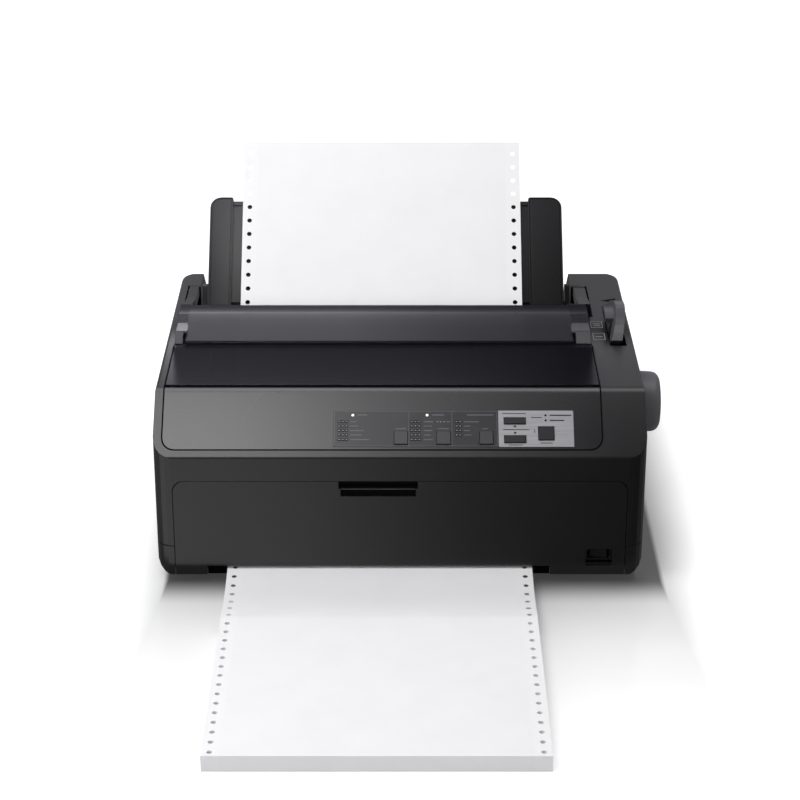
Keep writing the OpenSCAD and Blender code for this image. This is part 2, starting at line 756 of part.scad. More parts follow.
module panel_board() color(board_green) from_front() on_slope() {
    block(label_x0, label_x1, label_y0 + 0.3, label_y1 + 9.6, board_plane - board_t, board_plane);
    for (b = all_buttons) block((b[0] + b[1]) / 2 - 3, (b[0] + b[1]) / 2 + 3,
        (b[2] + b[3]) / 2 - 3, (b[2] + b[3]) / 2 + 3, board_plane, board_plane + 3);
    for (p = lamp_places) block(p.x - 1.5, p.x + 1.5, p.y - 1.5, p.y + 1.5, board_plane, board_plane + 2);
}

module indicator_lamps() color(lamp_green) from_front() on_slope() {
    for (p = lamp_places) translate([p.x, p.y, board_plane + 2])
        cylinder(h = -board_plane - 2 + label_t, r = lamp_r);
}

// A thin label with windows for its buttons and lamps
module label_sheet(x0, x1) {
    on_slope() difference() {
        block(x0, x1, label_y0, label_y1, 0, label_t);
        for (b = all_buttons)
            block(b[0] - button_gap, b[1] + button_gap, b[2] - button_gap, b[3] + button_gap, -1, 1);
        for (p = lamp_places) translate([p.x, p.y, -1]) cylinder(h = 2, r = lamp_r + fit);
    }
}

module indicator_label() color(dark_part) from_front() label_sheet(label_x0, label_split_x - 0.1);
module button_label() color(label_silver) from_front() label_sheet(label_split_x, label_x1);

// A push button: cap, collar behind the panel, and the stem over its switch
module button(b) {
    mid_x = (b[0] + b[1]) / 2;
    mid_y = (b[2] + b[3]) / 2;
    collar_top = -wall - 0.3;
    collar_bottom = collar_top - 1;
    stem_end = board_plane + 3 + button_travel + 0.3;
    color(dark_part) from_front() on_slope() {
        translate([0, 0, collar_top - 0.5]) linear_extrude(button_rise - collar_top + 0.5)
            polygon(rounded_box(b[0], b[1], b[2], b[3], 0.8));
        block(b[0] - 1.2, b[1] + 1.2, b[2] - 1.2, b[3] + 1.2, collar_bottom, collar_top);
        translate([mid_x, mid_y, stem_end]) cylinder(h = collar_bottom - stem_end + 0.5, r = 1.5);
    }
}

module font_button() button(button_font);
module pitch_button() button(button_pitch);
module tear_off_button() button(button_tear);
module line_feed_button() button(button_line);
module load_button() button(button_load);
module pause_button() button(button_pause);

// ---- Power switch, behind its hole in the front cover ----
switch_hole = [147, 15];
switch_x0 = switch_hole.x - 1.5;
switch_x1 = switch_hole.x + 22.5;
switch_z0 = cover_hinge_z + 0.7;
switch_z1 = switch_z0 + 14;
switch_d0 = 5.2;
switch_d1 = 26;
rocker_axis = [switch_hole.x + 10.5, switch_d0 + 5.8];
rocker_pin_r = 1.5;

module power_switch() color(rubber_black) from_front() difference() {
    block(switch_x0, switch_x1, switch_d0, switch_d1, switch_z0, switch_z1);
    block(switch_x0 + 3.5, switch_x1 - 3.5, switch_d0 - 1, switch_d1 - 8, switch_z0 + 1.6, switch_z1 - 1.6);
    rod_z(switch_z0 + 0.6, switch_z1 - 0.6, rocker_axis.x, rocker_axis.y, rocker_pin_r + fit);
}

module power_rocker() color(rubber_black) from_front() {
    along_z(switch_z0 + 1.9, switch_z1 - 1.9) translate(rocker_axis) polygon([
        [-6.8, -3.8], [0, -4.6], [6.8, -5.4], [6.5, -1.5], [2.5, 3], [-2.5, 3], [-6.3, 0]
    ]);
    rod_z(switch_z0 + 0.7, switch_z1 - 0.7, rocker_axis.x, rocker_axis.y, rocker_pin_r);
}

// ---- Printer cover: the smoked window and the raised rear part ----
end_left_x = bay_x0 + 10;
end_right_x = bay_x1 - 16;
arm_right_x = bay_x1 - 8;
lid_x0 = bay_x0 + cover_gap;
lid_x1 = bay_x1 - cover_gap;

module cover_window() color(smoked) from_front() {
    block(lid_x0, lid_x1, window_d0, band_d0, window_top_z - window_t, window_top_z);
    for (x = [lid_x0 + 3, lid_x1 - 5]) block(x, x + 2, window_d0 + 8, band_d0,
        window_top_z - window_t - 4, window_top_z - window_t);
}

band_line = [
    [band_d0, window_top_z + band_step, 0], [band_d1, band_z, 4],
    [band_end_d, band_z, 3.5], [band_end_d, band_z - 8, 0]
];
end_top_z = band_z - 4;
end_corners = [
    [band_d0, window_top_z - window_t, 0], [band_end_d, window_top_z - 3, 4],
    [lid_hinge_d, lid_hinge_z - arm_end_r + 0.6, 0], [lid_hinge_d, lid_hinge_z + arm_end_r - 0.6, 0],
    [lid_hinge_d - 30, lid_hinge_z + 5.5, 10], [band_end_d, band_z - 0.5, 3],
    [band_d1, band_z - 0.2, 2], [band_d1 - 12, end_top_z, 2], [band_d0 + 10, end_top_z, 1.5],
    [band_d0, window_top_z + 0.8, 0]
];
arm_x = [[lid_x0 + 1.6, end_left_x], [arm_right_x + 1.5, hinge_bay_x1 - 2.1]];

module cover_rear() color(smoked) from_front() {
    along_x(end_left_x - 1, end_right_x + 1) polygon(strip(bent_line(band_line), 0, -window_t));
    // Step between the window and the band
    block(end_left_x - 1, end_right_x + 1, band_d0, band_d0 + window_t,
        window_top_z - window_t, window_top_z + band_step - 1);
    // The two ends, each with a notch beside the band
    end_piece(lid_x0, end_left_x, end_left_x - 3.2);
    end_piece(end_right_x, lid_x1, end_right_x);
    // Arms to the hinge
    for (x = arm_x) {
        along_x(x[0], x[1]) intersection() {
            polygon(softened(end_corners));
            translate([band_end_d + 2, 0]) square([body_d, body_h * 2]);
        }
        rod_x(x[0], x[1], lid_axis, arm_end_r);
    }
    rod_x(lid_pin_x0, end_left_x, lid_axis, lid_pin_r);
    rod_x(arm_right_x + 2, lid_pin_x1, lid_axis, lid_pin_r);
}

module end_piece(x0, x1, notch_x) {
    difference() {
        along_x(x0, x1) intersection() {
            polygon(softened(end_corners));
            square([band_end_d + 3, body_h * 2]);
        }
        block(notch_x, notch_x + 3.2, band_d0 - 1, band_d0 + 9, window_top_z, band_z);
    }
}

// ---- Release lever ----
module lever_sector(r0, r1, a0, a1) {
    polygon(concat(
        [for (k = [0:12]) let (a = a0 + (a1 - a0) * k / 12) r1 * [cos(a), sin(a)]],
        [for (k = [12:-1:0]) let (a = a0 + (a1 - a0) * k / 12) r0 * [cos(a), sin(a)]]
    ));
}

module release_lever() color(grey_part) from_front() {
    over_h = lever_axis.y + lever_r - body_h;
    translate([0, lever_axis.x, lever_axis.y]) difference() {
        union() {
            // The blade leans to the right above the case
            intersection() {
                along_x(lever_x0, lever_x0 + lever_w + 6) union() {
                    lever_sector(lever_r - 9, lever_r, 42, 138);
                    polygon([[-5, 0], [5, 0], [9, lever_r - 8], [-9, lever_r - 8]]);
                    circle(8);
                }
                translate([lever_x0, 0, body_h - lever_axis.y]) along_y(-lever_r - 5, lever_r + 5) polygon([
                    [0, -lever_r], [lever_w, -lever_r], [lever_w, 0],
                    [lever_w + 5, over_h], [6.5, over_h], [0, 0]
                ]);
            }
            // Thumb rest beside the blade
            along_x(lever_x0 - lever_wing_w, lever_x0 + 6) lever_sector(lever_r - 9, lever_r - 4.5, 62, 108);
        }
        rod_x(lever_x0 - 1, lever_x0 + lever_w + 1, [0, 0], lever_pin_r + fit);
    }
}

// ---- Platen, its knob and the gear train ----
module platen_shaft() color(steel) from_front()
    rod_x(frame_in_x0 - frame_t - 4, knob_x1 - 6, platen_axis, platen_shaft_r);

module platen_roller() color(rubber_black) from_front() difference() {
    rod_x(frame_in_x0 + 9, frame_in_x1 - 10, platen_axis, platen_r);
    rod_x(frame_in_x0, frame_in_x1, platen_axis, platen_shaft_r);
}

module platen_knob() color(grey_part) from_front() {
    x0 = half_w + knob_gap;
    translate([x0, platen_d, platen_z]) rotate([0, 90, 0]) difference() {
        rotate_extrude() polygon(concat(
            [[0, 0], [knob_r - 1.5, 0], [knob_r, 1.5]],
            corner_points([knob_r, 1.5], [knob_r - 1, knob_len], [0, knob_len], 7),
            [[0, knob_len]]
        ));
        translate([0, 0, -1]) cylinder(h = knob_len - 5, r = platen_shaft_r);
    }
}

module platen_bushes() color(nylon) from_front() {
    for (x = [frame_left_x, frame_right_x]) difference() {
        union() {
            rod_x(x - 4, x + frame_t / 2 + 1.2, platen_axis, platen_shaft_r + bush_t);
            rod_x(x + frame_t / 2, x + frame_t / 2 + 1.2, platen_axis, platen_shaft_r + bush_t + 1);
        }
        rod_x(x - 5, x + 8, platen_axis, platen_shaft_r + fit);
    }
}

// A spur gear on the train's line, with its bore and a hub
module spur_gear(at, teeth, phase, bore) {
    translate([0, at.x, at.y]) difference() {
        along_x(gear_x0, gear_x1) polygon(gear_points(teeth, phase));
        rod_x(gear_x0 - 1, gear_x1 + 1, [0, 0], bore);
    }
}

module platen_gear() color(nylon) from_front()
    spur_gear(platen_axis, platen_teeth, 0, platen_shaft_r);

module idler_gear() color(nylon) from_front()
    spur_gear(idler_axis, idler_teeth, idler_phase, idler_stub_r + fit);

module tractor_gear() color(nylon) from_front()
    spur_gear(tractor_axis, tractor_teeth, tractor_phase, tractor_shaft_r);

module motor_pinion() color(steel) from_front() {
    spur_gear(pinion_axis, pinion_teeth, pinion_phase, pinion_shaft_r);
    rod_x(frame_in_x1 + 0.3, gear_x1, pinion_axis, pinion_shaft_r);
}

module feed_motor() color(dark_part) from_front() {
    rod_x(frame_in_x1 - 22, frame_in_x1, pinion_axis, feed_motor_r);
    // Flange that screws to the frame
    block(frame_in_x1 - 1.5, frame_in_x1, pinion_axis.x - 26, pinion_axis.x + 26,
        pinion_axis.y - 5, pinion_axis.y + 5);
}

// ---- Frame ----
frame_corners = [
    [platen_d - 105, floor_z, 3], [frame_end_d, floor_z, 3], [post_pivot.x - 18, post_pivot.y - 47, 10],
    [post_pivot.x - 10, frame_rear_z, 0], [post_pivot.x - 28, frame_rear_z, 0],
    [platen_d + 55, platen_z + 26, 6], [platen_d + 23, platen_z + 20, 6], [platen_d + 17, platen_z + 24, 3],
    [platen_d - 17, platen_z + 26, 4], [platen_d - 83, platen_z + 20, 6], [platen_d - 99, platen_z - 38, 10]
];

module frame_plate(x) {
    along_x(x - frame_t / 2, x + frame_t / 2) difference() {
        polygon(softened(frame_corners));
        translate(platen_axis) circle(platen_shaft_r + bush_t + fit);
        translate(tractor_axis) circle(tractor_shaft_r + fit);
        translate(guide_shaft_axis) circle(guide_shaft_r);
        translate(carriage_axis) circle(carriage_shaft_r);
        translate([platen_d + 30, platen_z - 38]) circle(18);
    }
}

module side_frame_left() color(steel) from_front() frame_plate(frame_left_x);

module side_frame_right() color(steel) from_front() {
    difference() {
        frame_plate(frame_right_x);
        rod_x(frame_right_x - 3, frame_right_x + 3, pinion_axis, 9);
        block(frame_right_x - 3, frame_right_x + 3, belt_d - 9, belt_d + 9, belt_z0 - 1.5, belt_z1 + 2);
    }
    // Stub of the idler gear
    rod_x(frame_out_x1 - 0.5, gear_x1 + 1, idler_axis, idler_stub_r);
    // Shelf that carries the carriage motor
    difference() {
        block(frame_out_x1 - 0.5, drive_pulley_x + 20, belt_d - 18, belt_d + 13, shelf_z, shelf_z + shelf_t);
        rod_z(shelf_z - 1, shelf_z + shelf_t + 1, drive_pulley_x, belt_d, 5);
    }
}

module base_plate() color(steel) from_front() {
    block(frame_in_x0, frame_in_x1, platen_d + 15, platen_d + 65, floor_z, floor_z + 1.5);
    block(frame_in_x0, frame_in_x1, platen_d + 63.5, platen_d + 65, floor_z, floor_z + 33.5);
}

// The paper's lower guide in front of the platen and the exit guide behind it
module paper_guides() color(dark_part) from_front() {
    x0 = paper_x0 + hole_inset + 7;
    x1 = paper_x1 - hole_inset - 7;
    on_feed() block(x0, x1, 9, feed_len - 30.35, -2.4, -1.2);
    for (x = [x0 + 20, (x0 + x1) / 2, x1 - 20])
        block(x, x + 2, 20, 26, floor_z, slot_bend.y + 12 * tan(feed_slope) - 2.2);
    exit_start = [platen_d + 14, wrap_top_z + (platen_d + 14 - platen_front_d) * tan(exit_slope) - 2.2];
    exit_stop = exit_start + 62 * [cos(exit_slope), sin(exit_slope)];
    along_x(frame_in_x0, frame_in_x1) polygon(strip([exit_start, exit_stop], 0, -1.5));
    for (x = [frame_in_x0, frame_in_x1 - 1.5]) along_x(x, x + 1.5) polygon([
        exit_start, exit_stop, exit_stop - [0, 12], exit_start + [6, -10]
    ]);
}

// ---- Tractors ----
belt_w = 8;
belt_x = [paper_x0 + hole_inset - belt_w / 2, paper_x1 - hole_inset - belt_w / 2];
belt_top = -0.5;
belt_skin = 1.2;
// The belt runs round two circles whose tops lie level, so its lower run slants
belt_small_r = guide_shaft_drop + belt_top;
belt_big_r = tractor_drop + belt_top;
belt_tilt = 2 * atan2(tractor_drop - guide_shaft_drop, tractor_run - guide_shaft_run);
belt_low = [guide_shaft_run, -guide_shaft_drop] - belt_small_r * [sin(belt_tilt), cos(belt_tilt)];
belt_y0 = guide_shaft_run - belt_small_r;
belt_y1 = tractor_run + belt_big_r;
function belt_low_z(y) = belt_low.y - (y - belt_low.x) * tan(belt_tilt);
belt_corners = [
    [belt_y0, belt_low_z(belt_y0), belt_small_r - 0.05], [belt_y1, belt_low_z(belt_y1), belt_big_r - 0.05],
    [belt_y1, belt_top, belt_big_r - 0.05], [belt_y0, belt_top, belt_small_r - 0.05]
];

module tractor_belts() color(rubber_black) from_front() on_feed() for (x = belt_x) {
    along_x(x, x + belt_w) difference() {
        polygon(softened(belt_corners));
        polygon(softened(inset(belt_corners, belt_skin)));
    }
}

module tractor_guide_shaft() color(steel) from_front()
    rod_x(frame_in_x0 - frame_t, frame_in_x1 + frame_t, guide_shaft_axis, guide_shaft_r);

wheel_r = 11.4;
square_half = 3.2;
module tractor_drive_shaft() color(steel) from_front() {
    rod_x(frame_in_x0 - frame_t - 2, frame_in_x0 + 6, tractor_axis, tractor_shaft_r);
    rod_x(frame_in_x1 - 6, gear_x1 + 1, tractor_axis, tractor_shaft_r);
    on_feed() translate([0, tractor_run, -tractor_drop]) {
        block(frame_in_x0 + 5, frame_in_x1 - 5, -square_half, square_half, -square_half, square_half);
        for (x = belt_x) rod_x(x + 0.4, x + belt_w - 0.4, [0, 0], wheel_r);
    }
}

// A tractor: its side plate outside the belt and the shoe under the belt's top run
module tractor(s) {
    x_belt = s < 0 ? belt_x[0] : belt_x[1];
    plate_x = s < 0 ? x_belt - 3.6 : x_belt + belt_w + 0.6;
    ear_x = s < 0 ? plate_x - 4 : plate_x + 3;
    color(dark_part) from_front() on_feed() {
        difference() {
            union() {
                along_x(plate_x, plate_x + 3) polygon(softened([
                    [guide_shaft_run - 6, -12, 4], [tractor_run + 6, -26, 8],
                    [tractor_run + 14, -20, 8], [tractor_run + 10, -1.4, 3], [guide_shaft_run - 6, -1.4, 3]
                ]));
                // Ears of the lid's hinge
                for (y = [guide_shaft_run - 2, tractor_run + 2])
                    block(ear_x - 0.1, ear_x + 4.1, y, y + 4, -6, lid_axis_z + 2);
            }
            rod_x(plate_x - 5, plate_x + 8, [tractor_run, -tractor_drop], 5.2);
            rod_x(plate_x - 5, plate_x + 8, [guide_shaft_run, -guide_shaft_drop], guide_shaft_r);
            rod_y(guide_shaft_run - 9, tractor_run + 20, ear_x + 2, lid_axis_z, 1 + fit);
        }
        // Shoe inside the belt
        shoe_x0 = s < 0 ? plate_x + 2 : x_belt + 0.5;
        shoe_x1 = s < 0 ? x_belt + belt_w - 0.5 : plate_x + 1;
        block(shoe_x0, shoe_x1, guide_shaft_run + 8, tractor_run - 15, -8, belt_top - belt_skin - 0.3);
    }
}

module tractor_left() tractor(-1);
module tractor_right() tractor(1);

// A tractor lid: a plate with a slot over the holes, on a hinge pin at its outer side
lid_axis_z = 2.2;
module tractor_lid(s) {
    x_belt = s < 0 ? belt_x[0] : belt_x[1];
    mid = x_belt + belt_w / 2;
    hinge_x = s < 0 ? x_belt - 3.6 - 2 : x_belt + belt_w + 0.6 + 5;
    far_x = mid - s * 5.5;
    color(grey_part) from_front() on_feed() {
        difference() {
            block(min(hinge_x, far_x), max(hinge_x, far_x), guide_shaft_run + 3, tractor_run, 0.8, 3);
            block(mid - 2.6, mid + 2.6, guide_shaft_run + 6, tractor_run - 4, 0, 4);
        }
        rod_y(guide_shaft_run - 1.5, tractor_run + 5.5, hinge_x, lid_axis_z, 1);
        rod_y(guide_shaft_run + 3, tractor_run, hinge_x, lid_axis_z, 1.6);
    }
}
module tractor_lid_left() tractor_lid(-1);
module tractor_lid_right() tractor_lid(1);

// ---- Carriage and print head ----
module carriage() color(dark_part) from_front() difference() {
    union() {
        block(carriage_x - carriage_half, carriage_x + carriage_half, carriage_d - 9, carriage_d + 9,
            carriage_z - 8, carriage_z + 6.6);
        // Foot on the front rail
        block(carriage_x - 12, carriage_x + 12, rail_d - 4, carriage_d - 8, rail_z + 0.3, rail_z + 3.3);
        // Clamp around the rear run of the belt
        block(carriage_x - 7, carriage_x + 7, belt_d + pulley_r - 3, carriage_d - 9,
            rail_z + 3, belt_z0 - 0.4);
        block(carriage_x - 7, carriage_x + 7, belt_d + pulley_r + belt_t / 2 + 0.4,
            belt_d + pulley_r + belt_t / 2 + 2.4, belt_z0 - 1, belt_z1);
        block(carriage_x - 7, carriage_x + 7, belt_d + pulley_r - belt_t / 2 - 2.4,
            belt_d + pulley_r - belt_t / 2 - 0.4, belt_z0 - 1, belt_z1);
    }
    rod_x(carriage_x - carriage_w, carriage_x + carriage_w, carriage_axis, carriage_shaft_r + fit);
}

head_body_r = 17;
head_body_d = [platen_front_d - 31, platen_front_d - 13];
module print_head() color(grey_part) from_front() {
    rod_y(head_body_d[0], head_body_d[1], carriage_x, head_z, head_body_r - 3);
    for (i = [0:3])
        rod_y(head_body_d[0] + i * 5, head_body_d[0] + i * 5 + 2.4, carriage_x, head_z, head_body_r);
    block(carriage_x - 6, carriage_x + 6, head_body_d[1] - 1, head_nose_d, head_z - 6, head_z + 6);
    block(carriage_x - 12, carriage_x + 12, head_body_d[0], head_body_d[1],
        carriage_z + 6.6, head_z - head_body_r + 4);
}

module carriage_shaft() color(steel) from_front()
    rod_x(frame_in_x0 - frame_t - 1, frame_in_x1 + frame_t, carriage_axis, carriage_shaft_r);

module carriage_rail() color(steel) from_front() {
    block(frame_in_x0, frame_in_x1, rail_d - 5, rail_d + 5, rail_z - 1.5, rail_z);
    block(frame_in_x0, frame_in_x1, rail_d - 5, rail_d - 3.5, rail_z - 8, rail_z);
    // Bracket of the idler pulley
    block(frame_in_x0, idler_pulley_x + 6, rail_d - 4, rail_d + 4, rail_z - 1, belt_z0 - 1);
    rod_z(belt_z0 - 2, belt_z1 + 1, idler_pulley_x, belt_d, 2);
}

module pulley(x, bore) {
    difference() {
        union() {
            rod_z(belt_z0 - 0.3, belt_z1 + 0.3, x, belt_d, pulley_r - belt_t / 2 - 0.3);
            rod_z(belt_z1 + 0.3, belt_z1 + 1.2, x, belt_d, pulley_r + 1.2);
        }
        rod_z(belt_z0 - 5, belt_z1 + 5, x, belt_d, bore);
    }
}
module drive_pulley() color(steel) from_front() {
    pulley(drive_pulley_x, 1);
    rod_z(shelf_z - 1, belt_z1 + 1.2, drive_pulley_x, belt_d, 2);
}
module idler_pulley() color(nylon) from_front() pulley(idler_pulley_x, 2 + fit);

module belt_outline(r) {
    translate([idler_pulley_x, belt_d]) circle(r);
    translate([drive_pulley_x, belt_d]) circle(r);
    translate([idler_pulley_x, belt_d - r]) square([drive_pulley_x - idler_pulley_x, 2 * r]);
}
module carriage_belt() color(rubber_black) from_front() along_z(belt_z0, belt_z1) difference() {
    belt_outline(pulley_r + belt_t / 2);
    belt_outline(pulley_r - belt_t / 2);
}

module carriage_motor() color(dark_part) from_front() {
    difference() {
        rod_z(shelf_z - 26, shelf_z, drive_pulley_x, belt_d, carriage_motor_r);
        rod_z(shelf_z - 5, shelf_z + 1, drive_pulley_x, belt_d, 4);
    }
}

module ribbon_cartridge() color(rubber_black) from_front() {
    block(cartridge_x0, cartridge_x1, cartridge_d0, cartridge_d1, cartridge_z0, cartridge_z1);
    for (x = [cartridge_x0, cartridge_x1 - 12]) along_x(x, x + 12) polygon([
        [cartridge_d1 - 1, cartridge_z0], [platen_front_d - 3.5, head_z - 6.5],
        [platen_front_d - 1.6, head_z - 6.5], [platen_front_d - 1.6, head_z + 8],
        [cartridge_d1 - 1, cartridge_z1 - 4]
    ]);
    for (x = [[frame_in_x0, cartridge_x0 + 1], [cartridge_x1 - 1, frame_in_x1]])
        block(x[0], x[1], cartridge_d0 + 10, cartridge_d0 + 22, cartridge_z0 + 4, cartridge_z0 + 8);
    // The inked ribbon between the arms, in front of the print head
    block(cartridge_x0 + 11.5, cartridge_x1 - 11.5, platen_front_d - 1.3, platen_front_d - 0.9,
        head_z - 6, head_z + 6.5);
    for (x = [cartridge_x0 + 10, cartridge_x1 - 12])
        block(x, x + 2, platen_front_d - 1.7, platen_front_d - 0.9, head_z - 6, head_z + 6.5);
    rod_z(cartridge_z1 - 1, cartridge_z1 + 3, ribbon_knob_x, ribbon_knob_d, 2);
}
module ribbon_knob() color(grey_part) from_front() difference() {
    union() {
        rod_z(cartridge_z1 + 0.3, cartridge_z1 + 6, ribbon_knob_x, ribbon_knob_d, 8);
        block(ribbon_knob_x - 7, ribbon_knob_x + 7, ribbon_knob_d - 1, ribbon_knob_d + 1,
            cartridge_z1 + 5.5, cartridge_z1 + 9);
    }
    rod_z(cartridge_z1 - 1, cartridge_z1 + 3.3, ribbon_knob_x, ribbon_knob_d, 2 + fit);
}

// ---- Electronics ----
port_x = [board_x0 + 8, board_x0 + 88];
port_w = [57, 12];
port_top_z = 31;
module port_openings() {
    for (i = [0, 1]) block(port_x[i] - 1, port_x[i] + port_w[i] + 1, body_d - wall - 1, body_d + 1,
        board_z + board_t - 0.5, port_top_z);
}
module main_board() color(board_green) from_front() {
    block(board_x0, board_x1, board_d0, body_d - 8, board_z, board_z + board_t);
    for (i = [0, 1]) block(port_x[i], port_x[i] + port_w[i], body_d - 20, body_d - 0.5,
        board_z + board_t, port_top_z - 1 - i);
    // Chips and capacitors
    for (x = [board_x0 + 48, board_x0 + 98, board_x0 + 158])
        block(x, x + 30, board_d0 + 28, board_d0 + 58, board_z + board_t, board_z + 5);
    for (x = [board_x1 - 36, board_x1 - 20]) rod_z(board_z + board_t, board_z + 24, x, body_d - 40, 7);
}
module power_supply() color(steel) from_front() difference() {
    supply_z1 = body_h - 87;
    block(supply_x0, supply_x1, supply_d0, body_d - 18, floor_z, supply_z1);
    for (i = [0:7]) block(supply_x0 + 10 + i * 12, supply_x0 + 16 + i * 12, supply_d0 + 6, body_d - 26,
        supply_z1 - 4, supply_z1 + 1);
}
module power_inlet() color(rubber_black) from_front() difference() {
    union() {
        block(inlet_x - 13.7, inlet_x + 13.7, body_d - 18, body_d, inlet_z - 9.7, inlet_z + 9.7);
        block(inlet_x - 17, inlet_x + 17, body_d - wall - 2, body_d - wall, inlet_z - 13, inlet_z + 13);
    }
    along_y(body_d - 15, body_d + 1) polygon([
        [inlet_x - 12, inlet_z - 8], [inlet_x + 12, inlet_z - 8], [inlet_x + 12, inlet_z + 3],
        [inlet_x + 7, inlet_z + 8], [inlet_x - 7, inlet_z + 8], [inlet_x - 12, inlet_z + 3]
    ]);
}

// ---- Sheet guide behind the paper ----
guide_face = -guide_gap;
guide_back = guide_face - guide_t;
plate_x0 = guide_x0 + 1.5 + edge_slide;
plate_x1 = guide_x1 - 1.5 - edge_slide;
pivot_lean = [pivot_run, -pivot_drop];

module sheet_guide() color(black_case) from_front() on_lean() {
    difference() {
        along_z(guide_back, guide_face) polygon(softened([
            [plate_x0, pivot_lean.x - 1, 0], [plate_x1, pivot_lean.x - 1, 0],
            [plate_x1, guide_top, 6], [plate_x0, guide_top, 6]
        ]));
        // Groove under the top rim
        block(plate_x0 - 1, plate_x1 + 1, guide_top - 5.6, guide_top - 3.6, guide_face - 1.2, guide_face + 1);
    }
    for (f = [-1:1]) block((plate_x0 + plate_x1) / 2 + f * 84 - 1, (plate_x0 + plate_x1) / 2 + f * 84 + 1,
        pivot_lean.x, guide_top - 10, guide_back - 3, guide_back + 0.5);
    rod_x(plate_x0, plate_x1, pivot_lean, 3.9);
    rod_x(post_x[0] + 0.3, plate_x0 + 1, pivot_lean, pivot_r);
    rod_x(plate_x1 - 1, post_x[1] + post_w - 0.3, pivot_lean, pivot_r);
}

// An edge guide: a band in front of the plate, round its edge and behind it
module edge_guide(outer, inner) {
    lo = min(outer, inner);
    hi = max(outer, inner);
    out_s = outer < inner ? 1 : -1;
    rim = outer + out_s * 1.2;
    face_top = guide_top + 2.7;
    face_corners = [
        [lo, 9, 0], [hi, 9, 0],
        [hi, face_top, outer < inner ? 2 : 9.5], [lo, face_top, outer < inner ? 9.5 : 2]
    ];
    color(black_case) from_front() on_lean() {
        difference() {
            along_z(guide_face + 0.3, -0.5) polygon(softened(face_corners));
            // Groove inside the edge of the band
            along_z(-1.4, 1) difference() {
                polygon(softened(inset(face_corners, 0.9)));
                polygon(softened(inset(face_corners, 2.1)));
            }
        }
        block(min(outer, rim), max(outer, rim), 24, guide_top - 6, guide_back - 2, -0.8);
        block(min(outer, outer + out_s * 12), max(outer, outer + out_s * 12), 24, guide_top - 8,
            guide_back - 2, guide_back - 0.3);
    }
}
module edge_guide_left() edge_guide(guide_x0, guide_x0 + edge_left_w);
module edge_guide_right() edge_guide(guide_x1, guide_x1 - edge_right_w);

// ---- Continuous paper ----
hole_lines = [paper_x0 + hole_inset, paper_x1 - hole_inset];
module hole_across(s) {
    i = segment_at(web_lengths, s);
    p = web_line[i] + unit(web_line[i + 1] - web_line[i]) * (s - web_lengths[i]);
    a = heading(web_line[i], web_line[i + 1]);
    for (x = hole_lines) translate([x, p.x, p.y]) rotate([a, 0, 0]) translate([0, 0, -1])
        cylinder(h = 2, r = hole_r, $fn = 24);
}
module fanfold_web() color(paper_white) from_front() difference() {
    along_x(paper_x0, paper_x1) polygon(strip(web_line, sheet_t / 2, -sheet_t / 2));
    for (s = [hole_pitch * 0.6:hole_pitch:web_lengths[len(web_lengths) - 1] - 4]) hole_across(s);
}
module fanfold_stack() color(paper_white) from_front() difference() {
    block(paper_x0, paper_x1, stack_d0, stack_d1, 0, stack_h);
    for (d = [stack_d0 + 5:hole_pitch:stack_d1 - 3], x = hole_lines) rod_z(-1, stack_h + 1, x, d, hole_r);
}

lower_case();
rubber_feet();
upper_case();
rear_cover();
front_cover();
panel_housing();
cover_window();
cover_rear();
sheet_guide();
edge_guide_left();
edge_guide_right();
case_screws();
font_button();
pitch_button();
tear_off_button();
line_feed_button();
load_button();
pause_button();
indicator_lamps();
indicator_label();
button_label();
panel_board();
power_rocker();
power_switch();
release_lever();
platen_knob();
platen_shaft();
platen_roller();
platen_bushes();
platen_gear();
idler_gear();
feed_motor();
motor_pinion();
side_frame_left();
side_frame_right();
base_plate();
paper_guides();
tractor_drive_shaft();
tractor_gear();
tractor_guide_shaft();
tractor_left();
tractor_right();
tractor_lid_left();
tractor_lid_right();
tractor_belts();
carriage();
print_head();
carriage_shaft();
carriage_rail();
carriage_motor();
drive_pulley();
idler_pulley();
carriage_belt();
ribbon_cartridge();
ribbon_knob();
main_board();
power_supply();
power_inlet();
fanfold_web();
fanfold_stack();
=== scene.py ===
# %% [markdown]
# # A dot matrix printer with its continuous paper
# This file dresses a packed construction model in moulded plastic, smoked
# plastic, paper, rubber and metal. The construction model gives the shapes, and
# each joint of the real printer is a body here, so a finish has to look right
# when a cover swings open as well as when everything is shut.
# We start by loading the model and noting how large it is.

# %% Load the construction model
import math

import bmesh
import bpy
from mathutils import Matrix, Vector
from mathutils.bvhtree import BVHTree


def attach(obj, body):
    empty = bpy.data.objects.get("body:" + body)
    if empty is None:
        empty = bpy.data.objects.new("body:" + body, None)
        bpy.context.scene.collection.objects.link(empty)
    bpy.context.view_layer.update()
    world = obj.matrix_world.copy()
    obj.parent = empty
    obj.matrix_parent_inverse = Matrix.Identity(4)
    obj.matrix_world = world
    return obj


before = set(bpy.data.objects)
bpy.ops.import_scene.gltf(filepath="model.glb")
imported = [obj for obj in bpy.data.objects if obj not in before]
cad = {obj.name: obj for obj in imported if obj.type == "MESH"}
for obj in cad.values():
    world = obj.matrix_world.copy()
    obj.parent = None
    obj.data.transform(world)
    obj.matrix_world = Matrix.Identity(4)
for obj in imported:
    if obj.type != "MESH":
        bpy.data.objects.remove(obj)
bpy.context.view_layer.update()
MM = 0.001
PAPER_X = (-148.25 * MM, 93.75 * MM)
PAPER_MIDDLE = sum(PAPER_X) / 2

# %% [markdown]
# ## The camera
# The photograph looks down on the front at 24 degrees from about 1.8 metres away.
# With a long lens the two sides of the printer stay almost parallel, so the
# camera needs about 100 mm on a 36 mm sensor.

